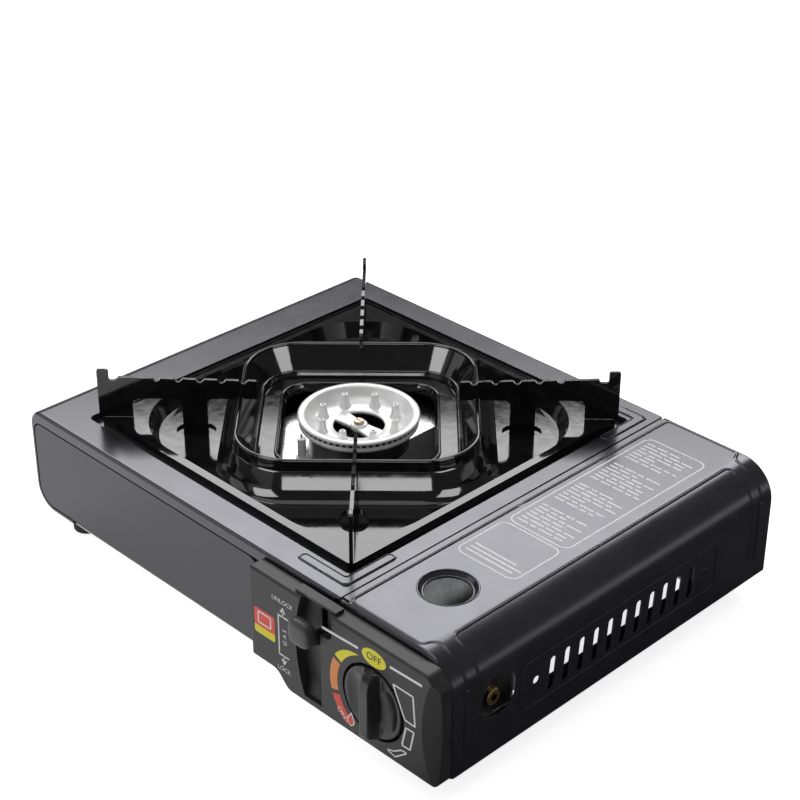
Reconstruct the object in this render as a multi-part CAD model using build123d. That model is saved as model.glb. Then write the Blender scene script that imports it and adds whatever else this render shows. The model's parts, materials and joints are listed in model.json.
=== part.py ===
"""Butane cassette stove: a portable gas burner with a closed bay for one gas cartridge.

Frame: +Z up from the table, +X towards the cartridge bay, -Y towards the controls.
The sizes below are millimetres from the middle of the case; on export everything is
shifted together so that the origin is the middle of the whole stove's footprint.
"""
import os
from math import atan2, cos, degrees, radians, sin, sqrt

from build123d import *

# ---------------------------------------------------------------- driving sizes
# case
CASE_HEIGHT = 65.8
MARGIN_LEFT = 33.45      # from the case's left side to the pan's seat
MARGIN_RIGHT = 10.65     # from the pan's seat to the seam
MARGIN_END = 17.95       # from the pan's seat to the front and the back
SHEET = 0.7              # pressed steel
TOP_RADIUS = 10.0        # long edge, top left
LOW_RADIUS = 16.0        # long edge, bottom left
FOLD_RADIUS = 2.0        # front and back edges of the top skin
TOP_LIP = 7.0            # downturned lip under the top's front and back edges
SIDE_LIP = 3.0
RETURN_WIDTH = 34.5      # the case's bottom fold, from its left side
RELIEF = 2.4             # lips stop this far short of the seam
PLATE_GAP = 0.6          # end plates sit this far behind the lips
FIELD_END_RADIUS = 8.0   # front field's corners beside the controls
FIT = 0.3                # general clearance
TOUCH = 0.05             # pieces that rest on each other
# feet
FOOT_HEIGHT = 14.0
FOOT_RADIUS = 8.7
FOOT_INSET_X = 23.9
FOOT_INSET_Y = 17.4
STEM_RADIUS = 2.4
STEM_LENGTH = 3.4
BARB_RADIUS = 3.4
# cartridge bay and its lid
BAY_WIDTH = 79.6
SEAM_GAP = 1.2
LID_RADIUS = 22.0
LID_HANG = 2.0           # the lid's side ends this far below the case's bottom
LID_SIDE_LIP = 5.0
CARTRIDGE_DIAMETER = 67.0
CARTRIDGE_LENGTH = 184.0
CARTRIDGE_SETBACK = 44.6     # from the case's front
CARTRIDGE_LIFT = 1.5     # above the floor of the bay's well
WELL_DROP = 6.0
WELL_MARGIN = 1.2
WELL_CORNER = 8.0
OPENING_HALF = 16.0      # the gap in the bay's floor, between the rails
OPENING_FRONT = 24.0     # and how far it stays from the cartridge's two ends
OPENING_BACK = 10.0
RAIL_SPREAD = 24.5
RAIL_FOOT = 4.0
HINGE_OFFSET = 1.6       # hinge axis from the lid's free edge
HINGE_DROP = 2.0         # hinge axis below the top skin
PIN_RADIUS = 1.0
PIN_LENGTH = 4.6
RUNNING = 0.05           # radial clearance of pins and shafts
VIEW_OUT = 30.9          # the viewing hole's middle, from the seam
VIEW_SETBACK = 45.9      # and from the case's front
VIEW_RADIUS = 15.5
VIEW_THROAT = 12.8
VIEW_DEPTH = 2.6
PORT_SETBACK = 33.1
PORT_RISE = 32.9         # above the case's bottom
PORT_RADIUS = 12.5
VENT_COUNT = 11
VENT_PITCH = 11.3
VENT_WIDTH = 4.2
VENT_LENGTH = 20.0
VENT_RISE = 24.6
VENT_LEAN = 5.3          # degrees
VENT_HOLE_REACH = 68.3
VENT_HOLE_RADIUS = 2.3
FIELD_HALF = 80.5        # beaded field round the vents
FIELD_LOW = 10.0         # above the case's bottom
FIELD_HIGH = 41.0
FIELD_CORNER = 7.0
SIDE_BEAD_WIDTH = 2.6
SIDE_BEAD_RISE = 0.5
END_BEAD_INSET = 10.6    # the upright beads near the lid's ends
END_BEAD_LENGTH = 39.0
# pan opening and drip pan
SEAT_HALF = 110.65
SEAT_DEPTH = 4.0
SEAT_LEDGE = 8.65
SEAT_CORNER = 4.0
PAN_SHEET = 0.8
PAN_PLAY = 5.15          # between the pan's edge and the opening
PAN_CORNER = 3.5
PAN_RIM_HEIGHT = 5.35
PAN_LIP = 0.6
LEDGE_WIDTH = 5.5
WELL_TOP_CORNER = 49.0
WELL_SLOPE = 6.0
PAN_DEPTH = 8.6
RING_HALF = 69.0
RING_CORNER = 33.0
RING_HEIGHT = 22.0
RING_FLARE = 1.5
CREST = 2.4
CREST_HEIGHT = 1.6
CREST_FILLET = 1.1
STEP_INSET = 11.0        # the ring's inner step, from its outside
STEP_DROP = 14.4
SHELF_INSET = 12.5
SHELF_DROP = 17.0
THROAT_TOP_HALF = 46.0
THROAT_HALF = 44.0
THROAT_CORNER = 15.0
THROAT_DROP = 21.0
SOCKET_LENGTH = 24.0     # the pressed sockets round the supports' feet
SOCKET_WIDTH = 16.0
SOCKET_DEPTH = 1.6
# pot supports, measured along the pan's diagonals from the burner's axis
WING_THICKNESS = 2.0
WING_OVERHANG = 0.2      # past the pan's sharp corner
WING_IN = 57.8
SPIKE_WIDTH = 6.6
SPIKE_HEIGHT = 17.7      # above the ring
WING_RISE_OUT = 13.0
WING_RISE_IN = 10.8
BAR_DROP = 0.8
NICK_WIDTH = 5.0
NICK_DEPTH = 2.0
NICK_SETBACK = 33.9      # first notch, from the support's outer edge
NICK_PITCH = 12.4
NICK_COUNT = 5
POST_WIDTH = 19.4
LEG_WIDTH = 14.5
LEG_OUT = 101.5
LEG_TAB = 4.0            # passes through the socket's slot
ARCH_RADIUS = 4.0
# burner
BURNER_RIM_RADIUS = 35.5
BURNER_DISH_RADIUS = 30.6
BURNER_RIM_RISE = 4.7    # rim's top above the case's top
BURNER_DISH_DEPTH = 8.3
BAND_RADIUS = 34.0
BAND_HEIGHT = 3.4
RIM_THICKNESS = 1.5
LIP_HEIGHT = 2.0
HEAD_HOLE = 15.0
SLOT_COUNT = 56
SLOT_WIDTH = 2.4
SLOT_DEPTH = 2.4
POST_COUNT = 8
POST_CIRCLE = 22.8
POST_TOP_RADIUS = 2.0
POST_BASE_RADIUS = 3.2
POST_HEIGHT = 9.6
POST_BORE = 0.9
SPOKE_WIDTH = 8.0
SPOKE_THICKNESS = 2.6
BOSS_RADIUS = 5.0
BOSS_HEIGHT = 3.8
CUP_RADIUS = 29.3
CUP_SHEET = 0.8
CUP_FLANGE = 33.0
SCREW_HEAD_RADIUS = 3.1
SCREW_HEAD_HEIGHT = 1.8
SCREW_RADIUS = 1.6
# burner bridge
BRIDGE_REACH_LEFT = 51.6     # from the burner's axis
BRIDGE_REACH_RIGHT = 17.9
BRIDGE_HALF = 60.0
BRIDGE_RISE = 50.7       # above the case's bottom
BRIDGE_FOOT = 9.0
# heat plate
HEAT_SHEET = 0.8
HEAT_FRONT = 12.0
HEAT_BACK = 48.0
HEAT_REACH = 4.0
# gas line
MIXER_RADIUS = 7.5
MIXER_WALL = 0.8
MIXER_RISE = 16.0        # above the case's bottom
MIXER_BEND_OUT = 53.4    # from the burner's axis
MIXER_BEND_RADIUS = 22.0
MIXER_RISE_RADIUS = 16.0
BELL_RADIUS = 10.0
BELL_LENGTH = 10.0
BELL_GAP = 3.0           # between the nozzle's tip and the bell
NOZZLE_SETBACK = 22.6
NOZZLE_RADIUS = 2.6
NOZZLE_HEX = 5.0
NOZZLE_REACH = 17.9      # tip, left of the seam
REGULATOR_OUT = 12.1     # left side, from the seam
REGULATOR_WIDTH = 45.0
REGULATOR_SETBACK = 12.1
REGULATOR_DEPTH = 24.5
REGULATOR_RISE = 7.0
REGULATOR_HEIGHT = 39.0
REGULATOR_POST = 3.2
CHAMBER_RADIUS = 17.0
CONNECTOR_RADIUS = 13.0
CONNECTOR_LENGTH = 6.0
CONNECTOR_BORE = 6.0
SEAL_RADIUS = 5.9
INLET_SETBACK = 31.4
INLET_RISE = 30.6
INLET_HEX = 6.4
INLET_RADIUS = 4.8
INLET_BORE = 2.0
INLET_INSET = 2.5        # its end, inside the lid's side
INLET_BOSS = 3.5
# control panel
PANEL_PROUD = 10.0
PANEL_BACK_GAP = 0.6
PANEL_REACH = 57.9       # left of the seam
PANEL_INSET = 0.9        # inside the case's right side
PANEL_RISE = 62.6        # top, above the case's bottom
PANEL_DROP_LEFT = 6.0
PANEL_DROP = -3.0        # the panel hangs below the case's bottom
PANEL_STEP = 38.4        # left of the seam
PANEL_STEP_RUN = 8.5
PANEL_BEVEL = 7.0
PANEL_SKIN = 2.0
PANEL_FILLET = 1.6
CHEEK_RADIUS = 76.0      # curve where the face turns back at its right end
CHEEK_START = 10.6       # from the panel's right edge
CHEEK_FALL = 3.4
RECESS_WALL = 1.5
TRACK_WIDTH = 18.6
TRACK_RIGHT_IN = 3.6     # right edge, left of the seam
TRACK_RISE = 1.5         # low end, above the case's bottom
TRACK_LENGTH = 61.5
TRACK_DEPTH = 6.0
TRACK_RAMP = 9.0
TRACK_END_DEPTH = 2.4
NOOK_REACH = 8.4
NOOK_HEIGHT = 16.0
KNOB_OUT = 34.2
KNOB_RISE = 25.9
KNOB_RADIUS = 20.3
KNOB_GAP = 1.5
KNOB_PROUD = 0.5
KNOB_SUNK = 5.0
DIAL_DEPTH = 6.6
GRIP_HEIGHT = 6.3
GRIP_TOP_HALF = 2.9
GRIP_BASE_HALF = 4.8
SCOOP_OFFSET = 10.8
SCOOP_HALF_WIDTH = 5.6
SCOOP_HALF_HEIGHT = 12.0
SCOOP_DEPTH = 1.9
SCOOP_FILLET = 1.2
HUB_RADIUS = 6.0
SPINDLE_RADIUS = 3.0
SPINDLE_SETBACK = 20.6
# lock lever and the clamp that it drives
LEVER_IN = 6.4           # left of the seam
LEVER_SHEET = 1.5
LEVER_HALF = 4.5
LEVER_SLOT = 4.4
PIVOT_SETBACK = 24.6
PIVOT_RISE = 32.0
PIVOT_RADIUS = 2.5
LEVER_HUB = 7.0
SWING = 39.0             # degrees, unlocked to locked
CRANK = 10.0
CRANK_PIN = 1.5
CRANK_PLAY = 0.35
CAP_WIDTH = 15.4
CAP_RIGHT = 2.0          # its right side, from the lever's middle
CAP_HEIGHT = 15.0
CAP_RISE = 39.0          # its low side, above the case's bottom
CAP_PROUD = 9.0
CAP_STANDOFF = 0.8       # its back, in front of the panel's face
CAP_FILLET = 3.4
CAP_BACK_FILLET = 2.0
ARM_LENGTH = 42.0
CLAMP_SHEET = 1.5
CLAMP_SETBACK = 46.85
CLAMP_NOTCH = 17.0
CLAMP_HEIGHT = 46.0
CLAMP_MARGIN = 4.0
LINK_HALF = 4.5
# igniter
CAM_START = 9.5
CAM_LIFT = 4.0
CAM_TURN = 135.0         # degrees from off to ignition
CAM_SETBACK = 7.1
CAM_THICKNESS = 5.0
PIEZO_RADIUS = 4.8
PIEZO_OUT = 6.1
PIEZO_LENGTH = 11.5
PIEZO_BORE = 2.6
PLUNGER_RADIUS = 2.5
PLUNGER_LENGTH = 11.6
ELECTRODE_LEFT = 32.0    # from the burner's axis, along one diagonal
ELECTRODE_NEAR = 22.0    # and along the other
CERAMIC_RADIUS = 2.5
CERAMIC_DROP = 6.7       # below the bridge
CERAMIC_RISE = 15.3
TIP_RADIUS = 0.7
TIP_RISE = 3.0
WIRE_RADIUS = 1.1
WIRE_CROSS_SETBACK = 68.6
# partition and other fasteners
PARTITION_IN = 1.6
PARTITION_FLANGE = 11.0
BASE_FLANGE = 5.0
BASE_LAP = 14.0
BASE_INSET = 2.5
BASE_SIDE_HEIGHT = 21.5
BASE_VENT_COUNT = 2
BASE_VENT_PITCH = 14.0
BASE_VENT_LENGTH = 60.0
BASE_VENT_WIDTH = 5.0
FASTENER_RADIUS = 1.5
FASTENER_HEAD = 3.0
FASTENER_HEAD_HEIGHT = 1.5
FASTENER_LENGTH = 6.0
RIVET_RADIUS = 2.4
RIVET_HEIGHT = 1.0
BEAD_WIDTH = 4.5
BEAD_HEIGHT = 0.5
BEAD_LENGTH = 33.0
LOUVRE_COUNT = 9
LOUVRE_PITCH = 18.0
LOUVRE_LENGTH = 26.0
LOUVRE_WIDTH = 4.5

# ---------------------------------------------------------------- worked-out places
CASE_WIDTH = MARGIN_LEFT + 2 * SEAT_HALF + MARGIN_RIGHT + BAY_WIDTH
CASE_DEPTH = 2 * (SEAT_HALF + MARGIN_END)
LEFT = -CASE_WIDTH / 2
RIGHT = CASE_WIDTH / 2
FRONT = -CASE_DEPTH / 2
BACK = CASE_DEPTH / 2
BOTTOM = FOOT_HEIGHT
TOP = BOTTOM + CASE_HEIGHT
FLOOR = BOTTOM + SHEET
SEAM = RIGHT - BAY_WIDTH
CASE_EDGE = SEAM - SEAM_GAP / 2
LID_EDGE = SEAM + SEAM_GAP / 2
LID_LOW = BOTTOM - LID_HANG
LID_SIDE = RIGHT - SIDE_BEAD_RISE
RETURN_END = LEFT + RETURN_WIDTH
PLATE_FRONT = FRONT + SHEET + PLATE_GAP
PLATE_BACK = BACK - SHEET - PLATE_GAP
WALL_FRONT = PLATE_FRONT + SHEET + 2 * TOUCH
WALL_BACK = PLATE_BACK - SHEET - 2 * TOUCH
BAY_X = SEAM + BAY_WIDTH / 2
VIEW_X = SEAM + VIEW_OUT
VIEW_Y = FRONT + VIEW_SETBACK
PORT_Y = FRONT + PORT_SETBACK
PORT_Z = BOTTOM + PORT_RISE
VENT_Z = BOTTOM + VENT_RISE
WELL_FLOOR = FLOOR - WELL_DROP
CARTRIDGE_START = FRONT + CARTRIDGE_SETBACK
CARTRIDGE_RADIUS = CARTRIDGE_DIAMETER / 2
CARTRIDGE_Z = WELL_FLOOR + CARTRIDGE_LIFT + CARTRIDGE_RADIUS
CARTRIDGE_END = CARTRIDGE_START + CARTRIDGE_LENGTH
RAIL_TOP = CARTRIDGE_Z - sqrt(CARTRIDGE_RADIUS**2 - RAIL_SPREAD**2) - 4 * TOUCH
HINGE_X = LID_EDGE + HINGE_OFFSET
HINGE_Z = TOP - HINGE_DROP
PAN_X = LEFT + MARGIN_LEFT + SEAT_HALF
SEAT_HOLE = SEAT_HALF - SEAT_LEDGE
SEAT_TOP = TOP - SEAT_DEPTH
PAN_HALF = SEAT_HALF - PAN_PLAY
PAN_BOTTOM = SEAT_TOP + TOUCH
PAN_RIM = PAN_BOTTOM + PAN_RIM_HEIGHT
PAN_LEDGE = PAN_RIM - PAN_LIP
WELL_TOP_HALF = PAN_HALF - LEDGE_WIDTH
PAN_FLOOR = PAN_LEDGE - PAN_DEPTH
RING_TOP = PAN_FLOOR + RING_HEIGHT
STEP_HALF = RING_HALF - STEP_INSET
SHELF_HALF = RING_HALF - SHELF_INSET
SOCKET_FLOOR = PAN_FLOOR - SOCKET_DEPTH
WING_OUT = PAN_HALF * sqrt(2) + WING_OVERHANG
BURNER_TOP = TOP + BURNER_RIM_RISE
DISH_FLOOR = BURNER_TOP - BURNER_DISH_DEPTH
HEAD_BOTTOM = BURNER_TOP - RIM_THICKNESS - BAND_HEIGHT - LIP_HEIGHT
BRIDGE_TOP = BOTTOM + BRIDGE_RISE
BRIDGE_LEFT = PAN_X - BRIDGE_REACH_LEFT
BRIDGE_RIGHT = PAN_X + BRIDGE_REACH_RIGHT
PARTITION_X = SEAM - PARTITION_IN
MIXER_Z = BOTTOM + MIXER_RISE
MIXER_BEND_X = PAN_X + MIXER_BEND_OUT
NOZZLE_Y = FRONT + NOZZLE_SETBACK
NOZZLE_TIP = SEAM - NOZZLE_REACH
MIXER_START = NOZZLE_TIP - BELL_GAP
REGULATOR_LEFT = SEAM + REGULATOR_OUT
REGULATOR_RIGHT = REGULATOR_LEFT + REGULATOR_WIDTH
REGULATOR_FRONT = FRONT + REGULATOR_SETBACK
REGULATOR_BACK = REGULATOR_FRONT + REGULATOR_DEPTH
REGULATOR_LOW = BOTTOM + REGULATOR_RISE
REGULATOR_HIGH = REGULATOR_LOW + REGULATOR_HEIGHT
INLET_Y = FRONT + INLET_SETBACK
INLET_Z = BOTTOM + INLET_RISE
INLET_REACH = RIGHT - INLET_INSET
PANEL_LEFT = SEAM - PANEL_REACH
PANEL_RIGHT = RIGHT - PANEL_INSET
PANEL_TOP = BOTTOM + PANEL_RISE
PANEL_LOW_LEFT = BOTTOM + PANEL_DROP_LEFT
PANEL_LOW = BOTTOM + PANEL_DROP
PANEL_STEP_X = SEAM - PANEL_STEP
PANEL_FACE = FRONT - PANEL_PROUD
PANEL_BACK = FRONT - PANEL_BACK_GAP
DIAL_FLOOR = PANEL_FACE + DIAL_DEPTH
TRACK_RIGHT = SEAM - TRACK_RIGHT_IN
TRACK_LEFT = TRACK_RIGHT - TRACK_WIDTH
TRACK_LOW = BOTTOM + TRACK_RISE
TRACK_HIGH = TRACK_LOW + TRACK_LENGTH
TRACK_FLOOR = PANEL_FACE + TRACK_DEPTH
NOOK_RIGHT = TRACK_RIGHT + NOOK_REACH
NOOK_LOW = TRACK_HIGH - NOOK_HEIGHT
KNOB_X = SEAM + KNOB_OUT
KNOB_Z = BOTTOM + KNOB_RISE
KNOB_FACE = PANEL_FACE - KNOB_PROUD
KNOB_REAR = PANEL_FACE + KNOB_SUNK
SPINDLE_END = FRONT + SPINDLE_SETBACK
LEVER_X = SEAM - LEVER_IN
PIVOT_Y = FRONT + PIVOT_SETBACK
PIVOT_Z = BOTTOM + PIVOT_RISE
REST_TILT = SWING / 2
CAP_BACK = PANEL_FACE - CAP_STANDOFF
CAP_FACE = PANEL_FACE - CAP_PROUD
CAP_LOW = BOTTOM + CAP_RISE
CLAMP_Y = FRONT + CLAMP_SETBACK
CLAMP_HIGH = BOTTOM + CLAMP_HEIGHT
CLAMP_TRAVEL = 2 * CRANK * sin(radians(REST_TILT))
CAM_Y = FRONT + CAM_SETBACK
PIEZO_LEFT = SEAM + PIEZO_OUT
PIEZO_RIGHT = PIEZO_LEFT + PIEZO_LENGTH
WIRE_CROSS_Y = FRONT + WIRE_CROSS_SETBACK
FOOT_X = CASE_WIDTH / 2 - FOOT_INSET_X
FOOT_Y = CASE_DEPTH / 2 - FOOT_INSET_Y
ELECTRODE_X = PAN_X + (ELECTRODE_NEAR - ELECTRODE_LEFT) / sqrt(2)
ELECTRODE_Y = -(ELECTRODE_NEAR + ELECTRODE_LEFT) / sqrt(2)
CERAMIC_LOW = BRIDGE_TOP - CERAMIC_DROP
CERAMIC_HIGH = BRIDGE_TOP + CERAMIC_RISE
FAR = 400.0              # longer than the stove, for cuts that go right through

pieces = {}


# ---------------------------------------------------------------- shape helpers
def slab(x0, x1, y0, y1, z0, z1):
    """A block between two opposite corners."""
    return Pos((x0 + x1) / 2, (y0 + y1) / 2, (z0 + z1) / 2) * Box(x1 - x0, y1 - y0, z1 - z0)


def along_x(outline, x0, x1):
    """Extrude a sketch of (y, z) points from x0 to x1."""
    return extrude(Plane.YZ.offset(x0) * outline, x1 - x0)


def along_y(outline, y0, y1):
    """Extrude a sketch of (x, z) points from y0 to y1."""
    return extrude(Plane.XZ.offset(-y1) * outline, y1 - y0)


def along_z(outline, z0, z1):
    """Extrude a sketch of (x, y) points from z0 to z1."""
    return extrude(Plane.XY.offset(z0) * outline, z1 - z0)


def outline(*corners, radius=0):
    """A closed face through the corners, each rounded by its own radius."""
    return make_face(FilletPolyline(*corners, radius=radius, close=True))


def rod_x(x0, x1, y, z, radius):
    return along_x(Pos(y, z) * Circle(radius), x0, x1)


def rod_y(y0, y1, x, z, radius):
    return along_y(Pos(x, z) * Circle(radius), y0, y1)


def rod_z(z0, z1, x, y, radius):
    return along_z(Pos(x, y) * Circle(radius), z0, z1)


def hexagon_x(x0, x1, y, z, radius):
    return along_x(Pos(y, z) * RegularPolygon(radius, 6), x0, x1)


def rounded_square(half, corner):
    return RectangleRounded(2 * half, 2 * half, corner)


def over_pan(shape, turn=0):
    """Place a shape that is drawn round the burner's axis."""
    return Pos(PAN_X, 0, 0) * Rot(0, 0, turn) * shape


def frustum(low_half, low_corner, low_z, high_half, high_corner, high_z):
    low = Plane.XY.offset(low_z) * rounded_square(low_half, low_corner)
    high = Plane.XY.offset(high_z) * rounded_square(high_half, high_corner)
    return loft([low, high])


def wall(low_half, low_corner, low_z, high_half, high_corner, high_z, thickness):
    """A sloping wall whose inner face joins two rounded squares."""
    grown = [low_half + thickness, low_corner + thickness, low_z]
    grown += [high_half + thickness, high_corner + thickness, high_z]
    inner = frustum(low_half, low_corner, low_z, high_half, high_corner, high_z)
    return frustum(*grown) - inner


def plate_ring(outer, inner, z0, z1):
    return along_z(outer - inner, z0, z1)


# ---------------------------------------------------------------- the case
def case_outline(inset=0.0):
    """The left part of the case's cross-section, open past the seam."""
    low = LOW_RADIUS - inset
    high = TOP_RADIUS - inset
    corners = [(LEFT + inset, BOTTOM + inset), (LEFT + inset, TOP - inset)]
    corners += [(RIGHT + FAR, TOP - inset), (RIGHT + FAR, BOTTOM + inset)]
    return outline(*corners, radius=[low, high, 0, 0])


def lid_outline(inset=0.0):
    """The lid's cross-section, open to the left and below."""
    corners = [(LEFT, LID_LOW - FAR), (LEFT, TOP - inset)]
    corners += [(LID_SIDE - inset, TOP - inset), (LID_SIDE - inset, LID_LOW - FAR)]
    return outline(*corners, radius=[0, 0, LID_RADIUS - inset, 0])


def folded_block(section, inset):
    """A section extruded over the case's depth, its end edges folded round."""
    block = along_y(section, FRONT + inset, BACK - inset)
    ends = block.faces().filter_by(Axis.Y)
    return fillet(ends.edges(), FOLD_RADIUS - inset)


def top_casing():
    shell = folded_block(case_outline(), 0) - folded_block(case_outline(SHEET), SHEET)
    mouth = [(LEFT + SIDE_LIP, BOTTOM + SIDE_LIP), (LEFT + SIDE_LIP, TOP - TOP_LIP)]
    mouth += [(FAR, TOP - TOP_LIP), (FAR, BOTTOM + SIDE_LIP)]
    radii = [LOW_RADIUS - SIDE_LIP, TOP_RADIUS - SIDE_LIP, 0, 0]
    shell -= along_y(outline(*mouth, radius=radii), -FAR, FAR)
    shell -= slab(CASE_EDGE, 3 * FAR, -FAR, FAR, -FAR, FAR)
    shell -= slab(RETURN_END, 3 * FAR, -FAR, FAR, BOTTOM - 1, BOTTOM + TOP_RADIUS)
    for y in (FRONT, BACK):
        shell -= slab(CASE_EDGE - RELIEF, FAR, y - FOLD_RADIUS, y + FOLD_RADIUS, BOTTOM, TOP - SHEET)
    seat = rounded_square(SEAT_HALF, SEAT_CORNER)
    rim = rounded_square(SEAT_HALF + SHEET, SEAT_CORNER + SHEET)
    hole = rounded_square(SEAT_HOLE, SEAT_CORNER)
    shell -= over_pan(along_z(seat, SEAT_TOP, TOP + 1))
    shell += over_pan(plate_ring(rim, seat, SEAT_TOP, TOP))
    shell += over_pan(plate_ring(rim, hole, SEAT_TOP - SHEET, SEAT_TOP))
    shell += corner_bead(-1)
    shell += corner_bead(1)
    for side in (-1, 1):
        shell -= rod_z(BOTTOM - 1, FLOOR + 1, -FOOT_X, side * FOOT_Y, STEM_RADIUS + FIT)
    return shell


def corner_bead(side):
    """The raised V beside one of the pan's right-hand corners."""
    tip_x = PAN_X + SEAT_HALF + 2.6
    tip_y = SEAT_HALF + 5.8
    spine = FilletPolyline(
        (tip_x - BEAD_LENGTH, side * tip_y), (tip_x, side * tip_y),
        (tip_x, side * (tip_y - BEAD_LENGTH)), radius=2.6,
    )
    band = offset(spine, BEAD_WIDTH / 2)
    return along_z(make_face(band.edges()), TOP - SHEET / 2, TOP + BEAD_HEIGHT)


def base_tray():
    """The bottom plate, with a well under the cartridge and an upright side."""
    right = RIGHT - BASE_INSET
    lap_end = RETURN_END - BASE_LAP
    plate = slab(RETURN_END + FIT, right, WALL_FRONT, WALL_BACK, BOTTOM, FLOOR)
    plate += slab(lap_end, RETURN_END + 2, WALL_FRONT, WALL_BACK, FLOOR, FLOOR + SHEET)
    plate += slab(right - SHEET, right, WALL_FRONT, WALL_BACK, BOTTOM, BOTTOM + BASE_SIDE_HEIGHT)
    for y0, y1 in ((WALL_FRONT, WALL_FRONT + SHEET), (WALL_BACK - SHEET, WALL_BACK)):
        plate += slab(RETURN_END + FIT, right, y0, y1, BOTTOM, BOTTOM + BASE_FLANGE)
    half_x = RAIL_SPREAD + RAIL_FOOT + WELL_MARGIN + SHEET
    y0 = CARTRIDGE_START - WELL_MARGIN
    y1 = CARTRIDGE_END + WELL_MARGIN
    size = (2 * half_x, y1 - y0)
    middle = Pos(BAY_X, (y0 + y1) / 2)
    outer = middle * RectangleRounded(size[0] + 2 * SHEET, size[1] + 2 * SHEET, WELL_CORNER + SHEET)
    inner = middle * RectangleRounded(*size, WELL_CORNER)
    plate += along_z(outer, BOTTOM - WELL_DROP, FLOOR)
    plate -= along_z(inner, WELL_FLOOR, FLOOR + 1)
    plate -= along_z(bay_opening(), BOTTOM - WELL_DROP - 1, FLOOR + 1)
    for side in (-1, 1):
        plate -= rod_z(0, FLOOR + 2, -FOOT_X, side * FOOT_Y, STEM_RADIUS + FIT)
        plate -= rod_z(0, FLOOR + 2, FOOT_X, side * FOOT_Y, STEM_RADIUS + FIT)
    for k in range(BASE_VENT_COUNT):
        x = BRIDGE_LEFT - BRIDGE_FOOT - BASE_VENT_WIDTH - BASE_VENT_PITCH * k
        vent = Pos(x, 0) * SlotOverall(BASE_VENT_LENGTH, BASE_VENT_WIDTH, rotation=90)
        plate -= along_z(vent, BOTTOM - 1, FLOOR + 1)
    return plate


def end_outline():
    """The shape of the plates that close the front and back of the case."""
    low = FLOOR + SHEET + 2 * TOUCH
    high = TOP - SHEET - 0.4
    left = LEFT + SHEET + FIT
    right = RIGHT - SHEET - 0.8
    corners = [(left, low), (left, high), (right, high), (right, low)]
    radii = [LOW_RADIUS - SHEET - FIT, TOP_RADIUS - SHEET, LID_RADIUS - SHEET, FOLD_RADIUS]
    return outline(*corners, radius=radii)


def hinge_hole():
    return rod_y(-FAR, FAR, HINGE_X, HINGE_Z, PIN_RADIUS + RUNNING)


def front_panel():
    """The front plate; left of the controls its field is pressed out flush with the case."""
    gap = 1.0
    plate = along_y(end_outline(), PLATE_FRONT, PLATE_FRONT + SHEET)
    x0 = LEFT + SIDE_LIP + gap
    x1 = PANEL_LEFT - gap * 4
    z0 = BOTTOM + SIDE_LIP + gap
    z1 = TOP - TOP_LIP - gap
    radii = [LOW_RADIUS - SIDE_LIP - gap, TOP_RADIUS - SIDE_LIP - gap, FIELD_END_RADIUS, FIELD_END_RADIUS]
    field = outline((x0, z0), (x0, z1), (x1, z1), (x1, z0), radius=radii)
    inner = outline(
        (x0 + SHEET, z0 + SHEET), (x0 + SHEET, z1 - SHEET),
        (x1 - SHEET, z1 - SHEET), (x1 - SHEET, z0 + SHEET),
        radius=[radius - SHEET for radius in radii],
    )
    plate += along_y(field, FRONT + TOUCH, PLATE_FRONT)
    plate -= along_y(inner, FRONT + SHEET, PLATE_FRONT + SHEET + 1)
    plate -= hinge_hole()
    plate -= rod_y(-FAR, FAR, KNOB_X, KNOB_Z, HUB_RADIUS + FIT)
    half = LEVER_SLOT / 2
    reach = (PLATE_FRONT - PIVOT_Y) * sin(radians(-REST_TILT)) / cos(radians(REST_TILT))
    high = reach + LEVER_HALF + 4
    slot = (LEVER_X - half, LEVER_X + half, PIVOT_Z - high, PIVOT_Z + high)
    plate -= slab(slot[0], slot[1], FRONT - 1, WALL_FRONT, slot[2], slot[3])
    for x, z in panel_posts() + regulator_posts():
        plate -= rod_y(-FAR, FAR, x, z, FASTENER_RADIUS + 0.1)
    return plate


def back_panel():
    plate = along_y(end_outline(), PLATE_BACK - SHEET, PLATE_BACK)
    plate -= hinge_hole()
    for k in range(LOUVRE_COUNT):
        x = PAN_X + (k - (LOUVRE_COUNT - 1) / 2) * LOUVRE_PITCH
        slot = Pos(x, (BOTTOM + TOP) / 2) * SlotOverall(LOUVRE_LENGTH, LOUVRE_WIDTH, rotation=90)
        plate -= along_y(slot, PLATE_BACK - 2, PLATE_BACK + 1)
    return plate


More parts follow.
